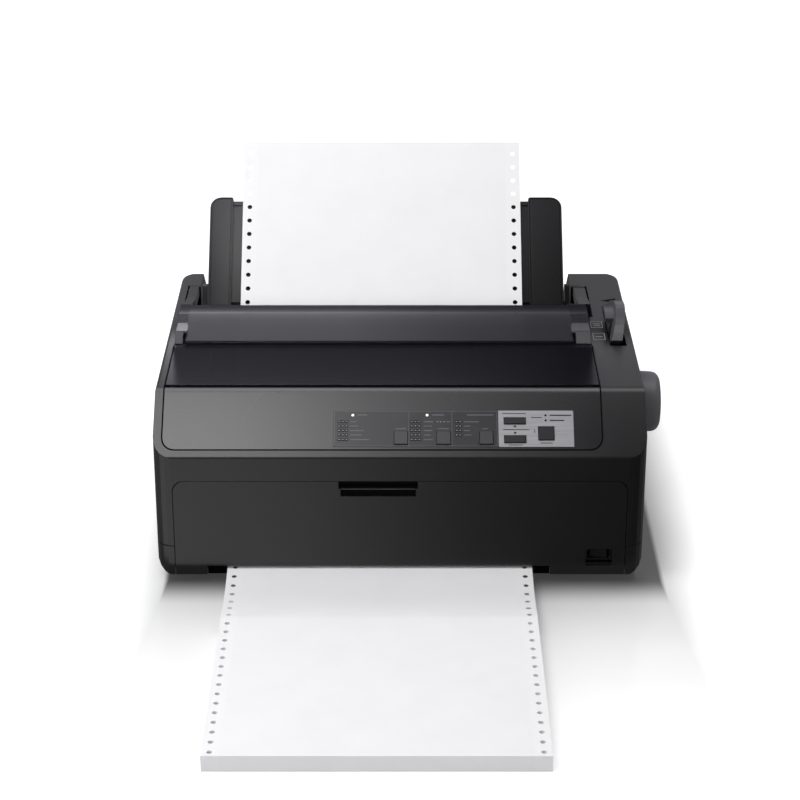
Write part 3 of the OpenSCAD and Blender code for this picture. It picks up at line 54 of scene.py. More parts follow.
# %% Camera
LOOK_DOWN = math.radians(23.98)
FOCAL_PIXELS, PICTURE_PIXELS = 2249, 800
camera_data = bpy.data.cameras.new("camera")
camera_data.sensor_width = 36
camera_data.lens = camera_data.sensor_width * FOCAL_PIXELS / PICTURE_PIXELS
camera = bpy.data.objects.new("camera", camera_data)
camera.location = (-0.01125, -1.6153, 0.861)
camera.rotation_euler = (math.pi / 2 - LOOK_DOWN, 0, 0)
bpy.context.scene.collection.objects.link(camera)
bpy.context.scene.camera = camera
bpy.context.scene.view_settings.view_transform = "Standard"
print("lens", round(camera_data.lens, 1), "mm")

# %% [markdown]
# ## Colours and nodes
# Colours are written as sRGB hex values, the way a picture editor shows them.
# Shaders work with linear light, so one function turns them over. A second small
# function adds a node, sets its options and its inputs, and links an input when
# it is given another node and the name of its output.

# %% Helpers for colours and nodes
def linear(hex_colour):
    """sRGB hex to the linear RGBA that a shader expects."""
    values = [int(hex_colour[i:i + 2], 16) / 255 for i in (0, 2, 4)]
    return tuple(v / 12.92 if v <= 0.04045 else ((v + 0.055) / 1.055) ** 2.4
                 for v in values) + (1.0,)


def add_node(tree, kind, inputs, **options):
    """A node with its options set; an input is a value, or a pair of node and output."""
    new = tree.nodes.new(kind)
    for option, value in options.items():
        setattr(new, option, value)
    for name, value in inputs.items():
        if isinstance(value, tuple) and isinstance(value[0], bpy.types.Node):
            tree.links.new(value[0].outputs[value[1]], new.inputs[name])
        else:
            new.inputs[name].default_value = value
    return new


def new_material(name):
    """An empty node tree with an output, ready for one shader."""
    material = bpy.data.materials.new(name)
    material.use_nodes = True
    material.node_tree.nodes.clear()
    return material, material.node_tree


print("white is", [round(v, 3) for v in linear("ffffff")])

# %% [markdown]
# ## Short names for common nodes
# The same few nodes come back in every material: a step of arithmetic, a value
# carried to another range, soft noise, a run between two tones, a mix. Each gets a
# short function that gives back the node and its output, ready to be linked on.

# %% Short names for common nodes
def calculate(tree, operation, *values):
    """One step of arithmetic, as the output of a Math node."""
    inputs = dict(enumerate(values))
    return add_node(tree, "ShaderNodeMath", inputs, operation=operation), "Value"


def map_range(tree, value, from_low, from_high, to_low, to_high, **options):
    """A value carried over from one range to another."""
    return add_node(tree, "ShaderNodeMapRange", {
        "Value": value, "From Min": from_low, "From Max": from_high,
        "To Min": to_low, "To Max": to_high}, **options), "Result"


def noise(tree, place, scale, detail, roughness=0.5):
    """Soft noise, scale being the number of its spots in a metre."""
    return add_node(tree, "ShaderNodeTexNoise", {
        "Vector": place, "Scale": scale, "Detail": detail, "Roughness": roughness}), "Fac"


def two_tones(tree, value, low, high, start, end):
    """A colour that runs from low to high while the value runs from start to end."""
    tones = add_node(tree, "ShaderNodeValToRGB", {"Fac": value})
    for element, at, colour in zip(tones.color_ramp.elements, (start, end), (low, high)):
        element.position = at
        element.color = linear(colour)
    return tones, "Color"


def mix_colours(tree, factor, low, high):
    """A colour between two, by a factor."""
    return add_node(tree, "ShaderNodeMix", {
        "Factor": factor, "A": low, "B": high}, data_type="RGBA"), "Result"


def object_place(tree):
    """The place on the object in metres, and the same split into X, Y and Z."""
    place = add_node(tree, "ShaderNodeTexCoord", {}), "Object"
    return place, add_node(tree, "ShaderNodeSeparateXYZ", {"Vector": place})


def rounded_edge(tree, radius_mm):
    """A normal that rounds sharp edges."""
    return add_node(tree, "ShaderNodeBevel", {"Radius": radius_mm * MM}, samples=4), "Normal"


def finish_material(tree, inputs):
    """The shader of a material and its output."""
    shader = add_node(tree, "ShaderNodeBsdfPrincipled", inputs)
    add_node(tree, "ShaderNodeOutputMaterial", {"Surface": (shader, "BSDF")})


def seen_by(tree, *rays):
    """One where the ray is of any of the named kinds, from the Light Path node."""
    path = add_node(tree, "ShaderNodeLightPath", {})
    total = (path, rays[0])
    for ray in rays[1:]:
        total = calculate(tree, "MAXIMUM", total, (path, ray))
    return total


print("node helpers ready")

# %% [markdown]
# ## Light
# Four large soft boxes light the set: one above on the left, one above at the
# back, one far to the left and a weak one in front. The left ones are stronger, so
# the light falls off to the right. The lamps light the matt share of each surface
# alone; what the gloss mirrors is given by the reflector cards further down.

# %% Lamps
def soft_box(name, place, target, width, height, watts):
    """An area lamp that looks at a target and does not show in the gloss."""
    lamp = bpy.data.lights.new(name, "AREA")
    lamp.shape = "RECTANGLE"
    lamp.size, lamp.size_y = width, height
    lamp.energy = watts
    thing = bpy.data.objects.new(name, lamp)
    thing.location = place
    aim = Vector(target) - Vector(place)
    thing.rotation_euler = aim.to_track_quat("-Z", "Y").to_euler()
    thing.visible_glossy = False
    bpy.context.scene.collection.objects.link(thing)


soft_box("overhead_left", (-0.80, -0.52, 1.75), (-0.45, 0.0, 0.1), 1.5, 1.0, 19)
soft_box("overhead_back", (0.10, 0.9, 1.8), (0.0, 0.1, 0.1), 1.8, 0.8, 8)
soft_box("side_left", (-2.1, -0.9, 0.9), (-0.1, 0.1, 0.1), 1.2, 1.0, 14)
soft_box("front_fill", (0.15, -2.6, 0.9), (0.0, 0.0, 0.1), 1.6, 0.8, 8)
print("four soft boxes")

# %% [markdown]
# ## Sky
# The sky is a dim fill for the shadows. What the camera and the clear parts see
# behind the printer is plain white. What the gloss sees is a dim studio wall that
# grows a little lighter towards the back.

# %% Sky
FILL_GLOW = 0.40
WALL_GLOW = (0.12, 0.45)

world = bpy.data.worlds.new("studio")
bpy.context.scene.world = world
world.use_nodes = True
sky = world.node_tree
sky.nodes.clear()
way = add_node(sky, "ShaderNodeTexCoord", {})
parts = add_node(sky, "ShaderNodeSeparateXYZ", {"Vector": (way, "Generated")})
wall_glow = map_range(sky, (parts, "Y"), 0.2, 0.7, *WALL_GLOW, interpolation_type="SMOOTHSTEP")
fill = add_node(sky, "ShaderNodeBackground", {"Color": linear("fafafc"), "Strength": FILL_GLOW})
wall = add_node(sky, "ShaderNodeBackground", {"Color": linear("fbfaff"), "Strength": wall_glow})
white = add_node(sky, "ShaderNodeBackground", {"Color": linear("ffffff"), "Strength": 1.0})
gloss = add_node(sky, "ShaderNodeMixShader", {
    0: seen_by(sky, "Is Glossy Ray"), 1: (fill, "Background"), 2: (wall, "Background")})
both = add_node(sky, "ShaderNodeMixShader", {
    0: seen_by(sky, "Is Camera Ray", "Is Transmission Ray"),
    1: (gloss, "Shader"), 2: (white, "Background")})
add_node(sky, "ShaderNodeOutputWorld", {"Surface": (both, "Shader")})
print("sky with", len(sky.nodes), "nodes")

# %% [markdown]
# ## Floor
# The printer stands on glossy white board. Part of its white comes from the
# lamps, so it keeps the shadow, and part is given to what the camera sees and
# grows with the distance from the printer, so the page is white further off. Close
# to the printer a painted contact shadow darkens the colour of the board, where
# hardly any light gets in. The gloss of the printer sees an evenly dim board.

# %% Floor
FLOOR_HALF = 9
FLOOR_DROP = 0.0002
CASE_HALF, CASE_FRONT, CASE_REAR = 0.196, -0.037, 0.308
BESIDE, BEFORE, BEHIND = 8.0, 0.9, 3.0
NEAR_LIFT, FAR_LIFT, LIFT_REACH = 0.04, 0.62, 0.30

corners = [(-1, -1), (1, -1), (1, 1), (-1, 1)]
floor_mesh = bpy.data.meshes.new("floor")
floor_points = [(x * FLOOR_HALF, y * FLOOR_HALF, 0) for x, y in corners]
floor_mesh.from_pydata(floor_points, [], [(0, 1, 2, 3)])
floor = bpy.data.objects.new("floor", floor_mesh)
floor.location.z = -FLOOR_DROP
bpy.context.scene.collection.objects.link(floor)

material, tree = new_material("glossy_white_board")
place, parts = object_place(tree)
aside = calculate(tree, "ABSOLUTE", (parts, "X"))
beside = calculate(tree, "MULTIPLY_ADD", aside, BESIDE, -CASE_HALF * BESIDE)
before = calculate(tree, "MULTIPLY_ADD", (parts, "Y"), -BEFORE, CASE_FRONT * BEFORE)
behind = calculate(tree, "MULTIPLY_ADD", (parts, "Y"), BEHIND, -CASE_REAR * BEHIND)
away = calculate(tree, "MAXIMUM", calculate(tree, "MAXIMUM", beside, before), behind)
far = map_range(tree, away, 0.0, LIFT_REACH, NEAR_LIFT, FAR_LIFT)
lift = calculate(tree, "MULTIPLY", seen_by(tree, "Is Camera Ray", "Is Transmission Ray"), far)
# Painted contact shadow: the colour of the board darkens towards black close to the printer.
painted_contact_shadow = map_range(tree, away, -0.005, 0.034, 0.06, 1.0, interpolation_type="SMOOTHSTEP")
board = add_node(tree, "ShaderNodeBsdfPrincipled", {
    "Base Color": mix_colours(tree, painted_contact_shadow, linear("202022"), linear("dfdfdf")),
    "Roughness": 0.12, "Emission Color": linear("ffffff"), "Emission Strength": lift})
dim = add_node(tree, "ShaderNodeEmission", {"Color": linear("ffffff"), "Strength": 0.15})
ground = add_node(tree, "ShaderNodeMixShader", {
    0: seen_by(tree, "Is Glossy Ray"), 1: (board, "BSDF"), 2: (dim, "Emission")})
add_node(tree, "ShaderNodeOutputMaterial", {"Surface": (ground, "Shader")})
floor_mesh.materials.append(material)
print("floor", floor.name)

# %% [markdown]
# ## Reflector cards
# Black plastic is seen by what it mirrors, so product photographers stand grey
# cards round it. Each card here glows more on the left than on the right, shows
# itself to the gloss alone, and works from one side, so it casts no light on the
# paper and hides nothing. One lies over the paper for the front cover, one hangs
# over the slanted panel, one further back draws the line on the ridge, one stands
# before the raised band for the flat window, two serve the band, and one behind
# the band is for the edge guides. First come the functions that make them.

# %% Cards
RAMP_TOP = 5.0


def glow_along(tree, value, stops):
    """A glow that follows stops of place and glow; a colour ramp only holds up to one."""
    low, high = stops[0][0], stops[-1][0]
    span = map_range(tree, value, low, high, 0.0, 1.0)
    tones = add_node(tree, "ShaderNodeValToRGB", {"Fac": span})
    while len(tones.color_ramp.elements) < len(stops):
        tones.color_ramp.elements.new(0.5)
    for element, (at, glow) in zip(tones.color_ramp.elements, stops):
        element.position = (at - low) / (high - low)
        element.color = (glow / RAMP_TOP,) * 3 + (1.0,)
    return calculate(tree, "MULTIPLY", (tones, "Color"), RAMP_TOP)


def card(name, profile, width, across, upward=None, tint="fdfdfe"):
    """A glowing sheet along a line of (y, z) points, with its glow across and upward."""
    mesh = bpy.data.meshes.new(name)
    points = [(x, y, z) for y, z in profile for x in width]
    faces = [(2 * i, 2 * i + 1, 2 * i + 3, 2 * i + 2) for i in range(len(profile) - 1)]
    mesh.from_pydata(points, [], faces)
    thing = bpy.data.objects.new(name, mesh)
    bpy.context.scene.collection.objects.link(thing)
    for ray in ("camera", "diffuse", "transmission", "volume_scatter", "shadow"):
        setattr(thing, "visible_" + ray, False)
    material, tree = new_material(name + "_glow")
    place, parts = object_place(tree)
    glow = glow_along(tree, (parts, "X"), across)
    if upward:
        glow = calculate(tree, "MULTIPLY", glow, glow_along(tree, (parts, "Z"), upward))
    light = add_node(tree, "ShaderNodeEmission", {"Color": linear(tint), "Strength": glow})
    clear = add_node(tree, "ShaderNodeBsdfTransparent", {})
    side = add_node(tree, "ShaderNodeNewGeometry", {})
    shown = add_node(tree, "ShaderNodeMixShader", {
        0: (side, "Backfacing"), 1: (light, "Emission"), 2: (clear, "BSDF")})
    add_node(tree, "ShaderNodeOutputMaterial", {"Surface": (shown, "Shader")})
    mesh.materials.append(material)


def top_line(names, x, low_y, high_y, steps):
    """The highest points of some nodes along y, two millimetres up."""
    trees = []
    for name in names:
        shape = bmesh.new()
        shape.from_mesh(cad[name].data)
        shape.transform(cad[name].matrix_world)
        trees.append(BVHTree.FromBMesh(shape))
        shape.free()
    line = []
    for i in range(steps + 1):
        y = low_y + (high_y - low_y) * i / steps
        hits = [tree.ray_cast(Vector((x, y, 1.0)), Vector((0, 0, -1)))[0] for tree in trees]
        line.append((y, max([hit.z for hit in hits if hit] + [0.0]) + 2 * MM))
    return line


print("card helpers ready")

# %% [markdown]
# Now the cards themselves. A stop is a place in metres and the glow there: from
# left to right in the first list of a card, and from low to high in the second.
# The front card follows the paper that lies before the printer, just above it.

# %% Cards in their places
WIDE = (-0.5, 0.5)
over_paper = top_line(("fanfold_web", "fanfold_stack"), PAPER_MIDDLE, -0.304, -0.042, 24)
card("front_card", [(-0.46, 0.004), (-0.32, 0.004)] + over_paper, WIDE,
     [(-0.20, 1.00), (-0.10, 0.80), (-0.02, 0.47), (0.05, 0.22), (0.11, 0.11), (0.17, 0.045),
      (0.3, 0.03)])
card("panel_card", [(-0.05, 0.45), (-0.34, 0.45)], WIDE,
     [(-0.25, 4.6), (-0.16, 4.5), (-0.10, 3.2), (-0.03, 1.85), (0.05, 0.95), (0.11, 0.40),
      (0.17, 0.04), (0.3, 0.0)])
card("ridge_card", [(0.15, 0.45), (-0.02, 0.45)], WIDE,
     [(-0.3, 3.7), (-0.1, 3.5), (0.0, 2.9), (0.3, 2.8)])
card("window_card", [(0.0985, 0.1515), (0.0985, 0.26)], (-0.199, 0.149),
     [(-0.16, 1.0), (0.0, 0.75), (0.06, 0.42), (0.11, 0.20), (0.13, 0.07), (0.3, 0.06)],
     [(0.15, 0.14), (0.18, 0.23), (0.192, 0.36), (0.26, 0.42)], tint="f6f4fd")
card("band_card", [(0.1605, 0.1580), (0.1605, 0.34)], (-0.6, 0.6),
     [(-0.216, 0.12), (-0.209, 0.9), (-0.20, 1.0), (-0.06, 0.9), (0.0, 0.62), (0.05, 0.42),
      (0.11, 0.30), (0.3, 0.20)],
     [(0.158, 0.22), (0.168, 0.35), (0.172, 3.6), (0.184, 3.6), (0.190, 1.5), (0.34, 1.85)],
     tint="f7f5fd")
card("guide_card", [(0.165, 0.42), (0.165, 0.168)], (-0.26, 0.26),
     [(-0.1775, 0.03), (-0.1765, 1.0), (-0.12, 1.0), (0.10, 0.12), (0.1235, 0.09), (0.1245, 0.02)],
     [(0.168, 0.6), (0.181, 0.9), (0.24, 1.6), (0.34, 4.2), (0.42, 4.4)])
card("band_top_card", [(0.60, 0.45), (0.16, 0.45)], WIDE,
     [(-0.20, 1.9), (-0.06, 1.65), (0.0, 1.1), (0.05, 0.7), (0.11, 0.5), (0.3, 0.5)], tint="f7f5fd")
print("the front card starts over the paper at", [round(v, 3) for v in over_paper[0]])

# %% [markdown]
# ## Moulded plastic
# The case is injection moulded ABS. The steel mould is etched, which leaves a
# fine grain that scatters the light, so the black looks soft. The real grain is
# about 0.15 mm; it is drawn near 0.5 mm, because anything finer disappears
# in the picture. The grain only tilts the surface and changes its roughness a
# little. A bevel input rounds the sharp edges of the model by half a millimetre,
# as the mould does, which gives each edge its thin light line.

# %% A function for moulded plastic
def moulded(name, colour, worn_colour, roughness, specular,
            grain_mm=0.5, grain_depth=0.05, edge_mm=0.6):
    """Moulded plastic with an etched grain and slow changes of tone from handling."""
    material, tree = new_material(name)
    place, parts = object_place(tree)
    grain = noise(tree, place, 1 / (grain_mm * MM), 2.0, 0.6)
    handling = noise(tree, place, 8.0, 1.0)
    bump = add_node(tree, "ShaderNodeBump", {
        "Height": grain, "Distance": grain_depth * MM, "Strength": 0.6,
        "Normal": rounded_edge(tree, edge_mm)})
    finish_material(tree, {
        "Base Color": two_tones(tree, handling, colour, worn_colour, 0.1, 0.9),
        "Roughness": map_range(tree, handling, 0.0, 1.0, roughness - 0.03, roughness + 0.03),
        "Specular IOR Level": specular, "IOR": 1.53, "Normal": (bump, "Normal")})
    return material


etched_black_abs = moulded("etched_black_abs", "121214", "161618", 0.34, 0.5)
satin_black_abs = moulded("satin_black_abs", "121214", "161618", 0.27, 0.6, grain_depth=0.03)
button_abs = moulded("button_grey_abs", "2c2c2f", "323236", 0.38, 0.4, edge_mm=0.7)
knob_abs = moulded("knob_grey_abs", "5a5a5e", "626266", 0.45, 0.45)
lever_abs = moulded("lever_grey_abs", "3c3c3f", "434347", 0.42, 0.4)
inner_black_plastic = moulded("inner_black_plastic", "101011", "151516", 0.5, 0.3)
key_abs = moulded("key_black_abs", "141416", "18181a", 0.42, 0.35, edge_mm=0.7)
socket_black = moulded("socket_black_nylon", "121213", "18181a", 0.42, 0.4, edge_mm=0.4)
white_acetal = moulded("white_acetal", "d8d6cc", "e2e0d8", 0.35, 0.5)
print("moulded plastics ready")

# %% [markdown]
# ## Smoked plastic
# The cover over the print line is smoked acrylic, moulded in a polished mould:
# a dark, slightly violet sheet that lets a little light through, with a smooth
# shine. Because it is thin, letting a share of the light pass straight through
# looks right and stays calm, where full refraction would only add noise.

# %% Smoked cover
smoked_acrylic, tree = new_material("smoked_acrylic")
place, parts = object_place(tree)
flow = noise(tree, place, 9.0, 2.0)
finish_material(tree, {
    "Base Color": two_tones(tree, flow, "111016", "15141b", 0.1, 0.9),
    "Roughness": map_range(tree, flow, 0.0, 1.0, 0.21, 0.27),
    "IOR": 1.49, "Specular IOR Level": 0.4, "Alpha": 0.9, "Normal": rounded_edge(tree, 0.7)})
print("smoked acrylic ready")

# %% [markdown]
# ## Paper
# Continuous computer paper is plain bond paper with a strip of feed holes down
# each side. Fine perforations let the strips be torn off, 12.7 mm in from each
# edge, so the strip catches the light a little differently. The fibres are far
# below a millimetre; they are drawn as a soft mottle. The sides of the folded
# pile show the edges of its sheets as fine lines.

# %% Paper
TEAR_STRIP = 12.7 * MM
TEAR_LINE = (PAPER_X[1] - PAPER_X[0]) / 2 - TEAR_STRIP
GROOVE = 0.35 * MM
SHEET_STEP = 0.42 * MM


def sheet_edges(tree, place, parts):
    """Lines at the edges of the sheets, on the upright sides of a pile only."""
    wobble = noise(tree, place, 14.0, 1.0)
    layers = calculate(tree, "MULTIPLY_ADD", (parts, "Z"), 2 * math.pi / SHEET_STEP, wobble)
    facing = add_node(tree, "ShaderNodeNewGeometry", {})
    upward = add_node(tree, "ShaderNodeSeparateXYZ", {"Vector": (facing, "True Normal")})
    side = calculate(tree, "LESS_THAN", calculate(tree, "ABSOLUTE", (upward, "Z")), 0.5)
    return calculate(tree, "MULTIPLY", calculate(tree, "SINE", layers), side)


def paper(name, colour, strip_colour, pile):
    """Bond paper with its tear-off strips; a pile also shows the edges of its sheets."""
    material, tree = new_material(name)
    place, parts = object_place(tree)
    shifted = calculate(tree, "SUBTRACT", (parts, "X"), PAPER_MIDDLE)
    distance = calculate(tree, "ABSOLUTE", shifted)
    on_strip = calculate(tree, "GREATER_THAN", distance, TEAR_LINE)
    near = calculate(tree, "ABSOLUTE", calculate(tree, "SUBTRACT", distance, TEAR_LINE))
    groove = map_range(tree, near, 0.0, GROOVE, 0.0, 1.0)
    fibres = noise(tree, place, 420.0, 5.0, 0.7)
    mottle = noise(tree, place, 30.0, 3.0, 0.6)
    tone = two_tones(tree, mottle, colour, strip_colour, 0.3, 0.7)
    base = mix_colours(tree, on_strip, tone, linear(strip_colour))
    height = calculate(tree, "MULTIPLY_ADD", fibres, 0.12, groove)
    if pile:
        edges = sheet_edges(tree, place, parts)
        shade = map_range(tree, edges, 0.0, 1.0, 0.0, 0.35)
        base = mix_colours(tree, shade, base, linear("d6d6d8"))
        height = calculate(tree, "MULTIPLY_ADD", edges, 0.8, height)
    bump = add_node(tree, "ShaderNodeBump", {
        "Height": height, "Distance": 0.06 * MM, "Strength": 0.35})
    finish_material(tree, {
        "Base Color": base, "Roughness": 0.72, "Specular IOR Level": 0.25,
        "Normal": (bump, "Normal")})
    return material


bond_paper = paper("bond_paper", "ebebed", "eeeeef", pile=False)
folded_bond_paper = paper("folded_bond_paper", "ebebed", "eeeeef", pile=True)
print("perforations", round(TEAR_LINE / MM, 1), "mm from the middle of the sheet")

# %% [markdown]
# ## Rubber, steel, film and the circuit boards
# The platen and the feet are vulcanised rubber, dull and almost black. Frames are
# bright zinc plate with its frosty grain, shafts are ground steel with fine rings
# round them. The labels are printed polyester film, one dark and one silver. The
# boards are glass fibre under green lacquer.

# %% More finishes
def finish(name, low, high, rough_low, rough_high, scale, stretch=(1, 1, 1), metallic=0.0,
           specular=0.5, bump_mm=0.0, edge_mm=0.0, kind="ShaderNodeTexNoise"):
    """A finish with a tone and a roughness that vary together, and a fine relief."""
    material, tree = new_material(name)
    place, parts = object_place(tree)
    spread = add_node(tree, "ShaderNodeMapping", {"Vector": place, "Scale": stretch})
    if kind == "ShaderNodeTexNoise":
        pattern = noise(tree, (spread, "Vector"), scale, 3.0)
    else:
        pattern = add_node(tree, kind, {"Vector": (spread, "Vector"), "Scale": scale}), "Distance"
    inputs = {"Base Color": two_tones(tree, pattern, low, high, 0.3, 0.7),
              "Roughness": map_range(tree, pattern, 0.3, 0.7, rough_low, rough_high),
              "Metallic": metallic, "Specular IOR Level": specular}
    if edge_mm:
        inputs["Normal"] = rounded_edge(tree, edge_mm)
    if bump_mm:
        relief = {"Height": pattern, "Distance": bump_mm * MM, "Strength": 0.5}
        if edge_mm:
            relief["Normal"] = inputs["Normal"]
        inputs["Normal"] = add_node(tree, "ShaderNodeBump", relief), "Normal"
    finish_material(tree, inputs)
    return material


vulcanised_rubber = finish("vulcanised_rubber", "1a1a1a", "242423", 0.62, 0.78, 900, bump_mm=0.05)
zinc_plate = finish("zinc_plated_sheet", "9b9da1", "b9bbbf", 0.28, 0.42, 120,
                    metallic=1.0, bump_mm=0.02, kind="ShaderNodeTexVoronoi")
ground_steel = finish("ground_steel_bar", "a4a6aa", "c0c2c6", 0.18, 0.3, 60,
                      stretch=(40, 1, 1), metallic=1.0, bump_mm=0.01)
dark_film = finish("printed_dark_film", "17171a", "1c1c1f", 0.3, 0.36, 60)
silver_film = finish("silver_polyester_film", "8e8e91", "98989b", 0.34, 0.42, 500,
                     stretch=(0.05, 1, 1), metallic=0.15, specular=0.4)
green_lacquer = finish("green_lacquered_board", "0f3b23", "17502f", 0.3, 0.45, 160, bump_mm=0.04)
motor_enamel = finish("baked_motor_enamel", "1d1d1f", "28282b", 0.35, 0.5, 200,
                      bump_mm=0.05, edge_mm=0.5)
head_aluminium = finish("cast_head_aluminium", "3a3b3e", "4c4d51", 0.4, 0.55, 260,
                        metallic=0.7, bump_mm=0.05)
light_ink = finish("light_grey_print", "8a8b8e", "959699", 0.5, 0.6, 300)
dim_ink = finish("dim_grey_print", "4d4e52", "56575b", 0.5, 0.6, 300)
black_ink = finish("black_print", "0c0c0d", "121214", 0.75, 0.85, 300, specular=0.08)
# Matt black for painted shade, laid as thin sheets into gaps and recesses.
painted_shade_black = finish("painted_shade_matt_black", "050506", "09090a", 0.85, 0.95, 900, specular=0.03)
contact_brass = finish("nickel_contact", "b0aa98", "c6c1b2", 0.2, 0.35, 300, metallic=1.0)
print("finishes", len(bpy.data.materials))

# %% [markdown]
# ## The indicator lamps
# Three clear lamp caps stand in the dark label. The first two glow greenish
# white and the third is off, so the glow is switched by the place along the label.

# %% Lamp caps
LAST_LIT_X = 0.03

lamp_caps, tree = new_material("moulded_lamp_caps")
place, parts = object_place(tree)
is_on = calculate(tree, "LESS_THAN", (parts, "X"), LAST_LIT_X)
frost = noise(tree, place, 900.0, 2.0)
finish_material(tree, {
    "Base Color": mix_colours(tree, is_on, linear("3c403b"), linear("dcefc4")),
    "Roughness": map_range(tree, frost, 0.0, 1.0, 0.14, 0.26), "Specular IOR Level": 0.5,
    "Emission Color": linear("e2f2c0"), "Emission Strength": is_on})
print("lamp caps ready")

# %% [markdown]
# ## Dressing the construction model
# Every node of the construction model keeps its shape and takes the finish that
# the real piece has. One table says which.

# %% Finishes of the nodes
dress = {
    etched_black_abs: ["lower_case", "upper_case", "rear_cover", "front_cover", "sheet_guide",
                       "edge_guide_left", "edge_guide_right"],
    satin_black_abs: ["panel_housing"],
    smoked_acrylic: ["cover_window", "cover_rear"],
    button_abs: ["font_button", "pitch_button", "tear_off_button",
                 "tractor_lid_left", "tractor_lid_right", "ribbon_knob"],
    key_abs: ["line_feed_button", "load_button", "pause_button"],
    knob_abs: ["platen_knob"],
    lever_abs: ["release_lever"],
    inner_black_plastic: ["paper_guides", "tractor_left", "tractor_right", "carriage",
                          "ribbon_cartridge"],
    socket_black: ["power_rocker", "power_switch", "power_inlet"],
    white_acetal: ["platen_bushes", "platen_gear", "idler_gear", "tractor_gear", "idler_pulley"],
    bond_paper: ["fanfold_web"],
    folded_bond_paper: ["fanfold_stack"],
    vulcanised_rubber: ["rubber_feet", "platen_roller", "tractor_belts", "carriage_belt"],
    zinc_plate: ["side_frame_left", "side_frame_right", "base_plate", "carriage_rail",
                 "power_supply"],
    ground_steel: ["case_screws", "platen_shaft", "tractor_drive_shaft", "tractor_guide_shaft",
                   "carriage_shaft", "motor_pinion", "drive_pulley"],
    dark_film: ["indicator_label"],
    silver_film: ["button_label"],
    green_lacquer: ["panel_board", "main_board"],
    motor_enamel: ["feed_motor", "carriage_motor"],
    head_aluminium: ["print_head"],
    lamp_caps: ["indicator_lamps"],
}
for material, names in dress.items():
    for name in names:
        cad[name].data.materials.clear()
        cad[name].data.materials.append(material)
left_bare = set(cad) - {name for names in dress.values() for name in names}
print("nodes without a finish:", sorted(left_bare))

# %% [markdown]
# ## Printing on the labels
# The two labels are screen printed. The shapes lie a few hundredths of a
# millimetre proud of the film, which is what ink does. Thin bars, dots, squares
# and arrows make up the layout. Everything is laid out in the plane of the slanted
# panel, in millimetres across and up the slope, as the construction model does it.

# %% Printing
SLOPE = math.radians(40.292)
OUT_OF_PANEL = Vector((0, -math.sin(SLOPE), math.cos(SLOPE)))
PANEL_FOOT_Z = 110
FRAME_SHIFT = Vector((-11.25, -37.3, 0))
INK = 0.05


def on_panel(x, up, out):
    """A place on the slanted panel, in millimetres, turned into the shared frame."""
    spot = Vector((x, up * math.cos(SLOPE) - out * math.sin(SLOPE),
                   PANEL_FOOT_Z + up * math.sin(SLOPE) + out * math.cos(SLOPE)))
    return (spot + FRAME_SHIFT) * MM


def film_height(name):
    """How far the top of a label stands out of the panel."""
    start = on_panel(0, 0, 0)
    spots = [cad[name].matrix_world @ vertex.co for vertex in cad[name].data.vertices]
    return max((spot - start).dot(OUT_OF_PANEL) for spot in spots) / MM


def finished_piece(name, shape, material, body):
    """Makes a piece from a bmesh in the shared frame, and lets it ride on a body."""
    bmesh.ops.recalc_face_normals(shape, faces=shape.faces)
    mesh = bpy.data.meshes.new(name)
    shape.to_mesh(mesh)
    shape.free()
    mesh.materials.append(material)
    thing = bpy.data.objects.new(name, mesh)
    bpy.context.scene.collection.objects.link(thing)
    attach(thing, body)


def extruded(shape, low_points, high_points):
    """Adds a closed slab between two outlines with the same number of points."""
    low = [shape.verts.new(point) for point in low_points]
    high = [shape.verts.new(point) for point in high_points]
    shape.faces.new(low[::-1])
    shape.faces.new(high)
    for i in range(len(low)):
        j = (i + 1) % len(low)
        shape.faces.new((low[i], low[j], high[j], high[i]))


def bar(x0, x1, up, thick):
    """The outline of a thin bar."""
    return [(x0, up - thick / 2), (x1, up - thick / 2), (x1, up + thick / 2), (x0, up + thick / 2)]


def dot(x, up, radius, sides=16):
    """The outline of a round dot."""
    turns = [2 * math.pi * i / sides for i in range(sides)]
    return [(x + radius * math.cos(turn), up + radius * math.sin(turn)) for turn in turns]


def rounded_box(x0, x1, z0, z1, radius, sides=4):
    """The outline of a box with round corners."""
    points = []
    for cx, cz, start in ((x1 - radius, z1 - radius, 0), (x0 + radius, z1 - radius, 1),
                          (x0 + radius, z0 + radius, 2), (x1 - radius, z0 + radius, 3)):
        for i in range(sides + 1):
            angle = math.pi / 2 * (start + i / sides)
            points.append((cx + radius * math.cos(angle), cz + radius * math.sin(angle)))
    return points


def printed(name, outlines, out, material):
    """Ink in the given outlines, standing a little out of the film."""
    shape = bmesh.new()
    for outline in outlines:
        extruded(shape, [on_panel(x, up, out) for x, up in outline],
                 [on_panel(x, up, out + INK) for x, up in outline])
    finished_piece(name, shape, material, "case")


dark_top, silver_top = film_height("indicator_label"), film_height("button_label")
print("films stand out", round(dark_top, 3), "and", round(silver_top, 3), "mm")

# %% [markdown]
# The dark label has a frame in three fields, columns of small dots in dark
# squares, and short bars beside them. The silver one has bars, two dots and two
# arrow heads.

# %% Layout of the two labels
ROWS = (30.7, 27.0, 23.2, 19.3, 15.4)
GRIDS = (((-47.6, -44.7, -41.8), ROWS), ((9.1, 12.1, 15.1), ROWS), ((44.3, 47.1), ROWS[:4]))
left, right, low, high = -51.4, 75.8, 9.9, 39.8
frame_lines = [bar(left, right, high, 0.3), bar(left, right, low, 0.3)]
frame_lines += [[(x - 0.15, low), (x + 0.15, low), (x + 0.15, high), (x - 0.15, high)]
                for x in (left, 6.9, 40.6, right)]
printed("label_frame_lines", frame_lines, dark_top, dim_ink)
spots = [(x, up) for xs, ups in GRIDS for x in xs for up in ups]
fields = [bar(x - 1.1, x + 1.1, up, 2.3) for x, up in spots]
printed("label_dot_fields", fields, dark_top, black_ink)
light_dots = [bar(x - 0.62, x + 0.62, up + 0.1, 0.62) for x, up in spots]
light_dots += [bar(x - 0.5, x + 0.5, 30.7, 0.6) for x in (29.3, 31.7, 34.5)]
printed("label_dots", light_dots, dark_top + INK, light_ink)
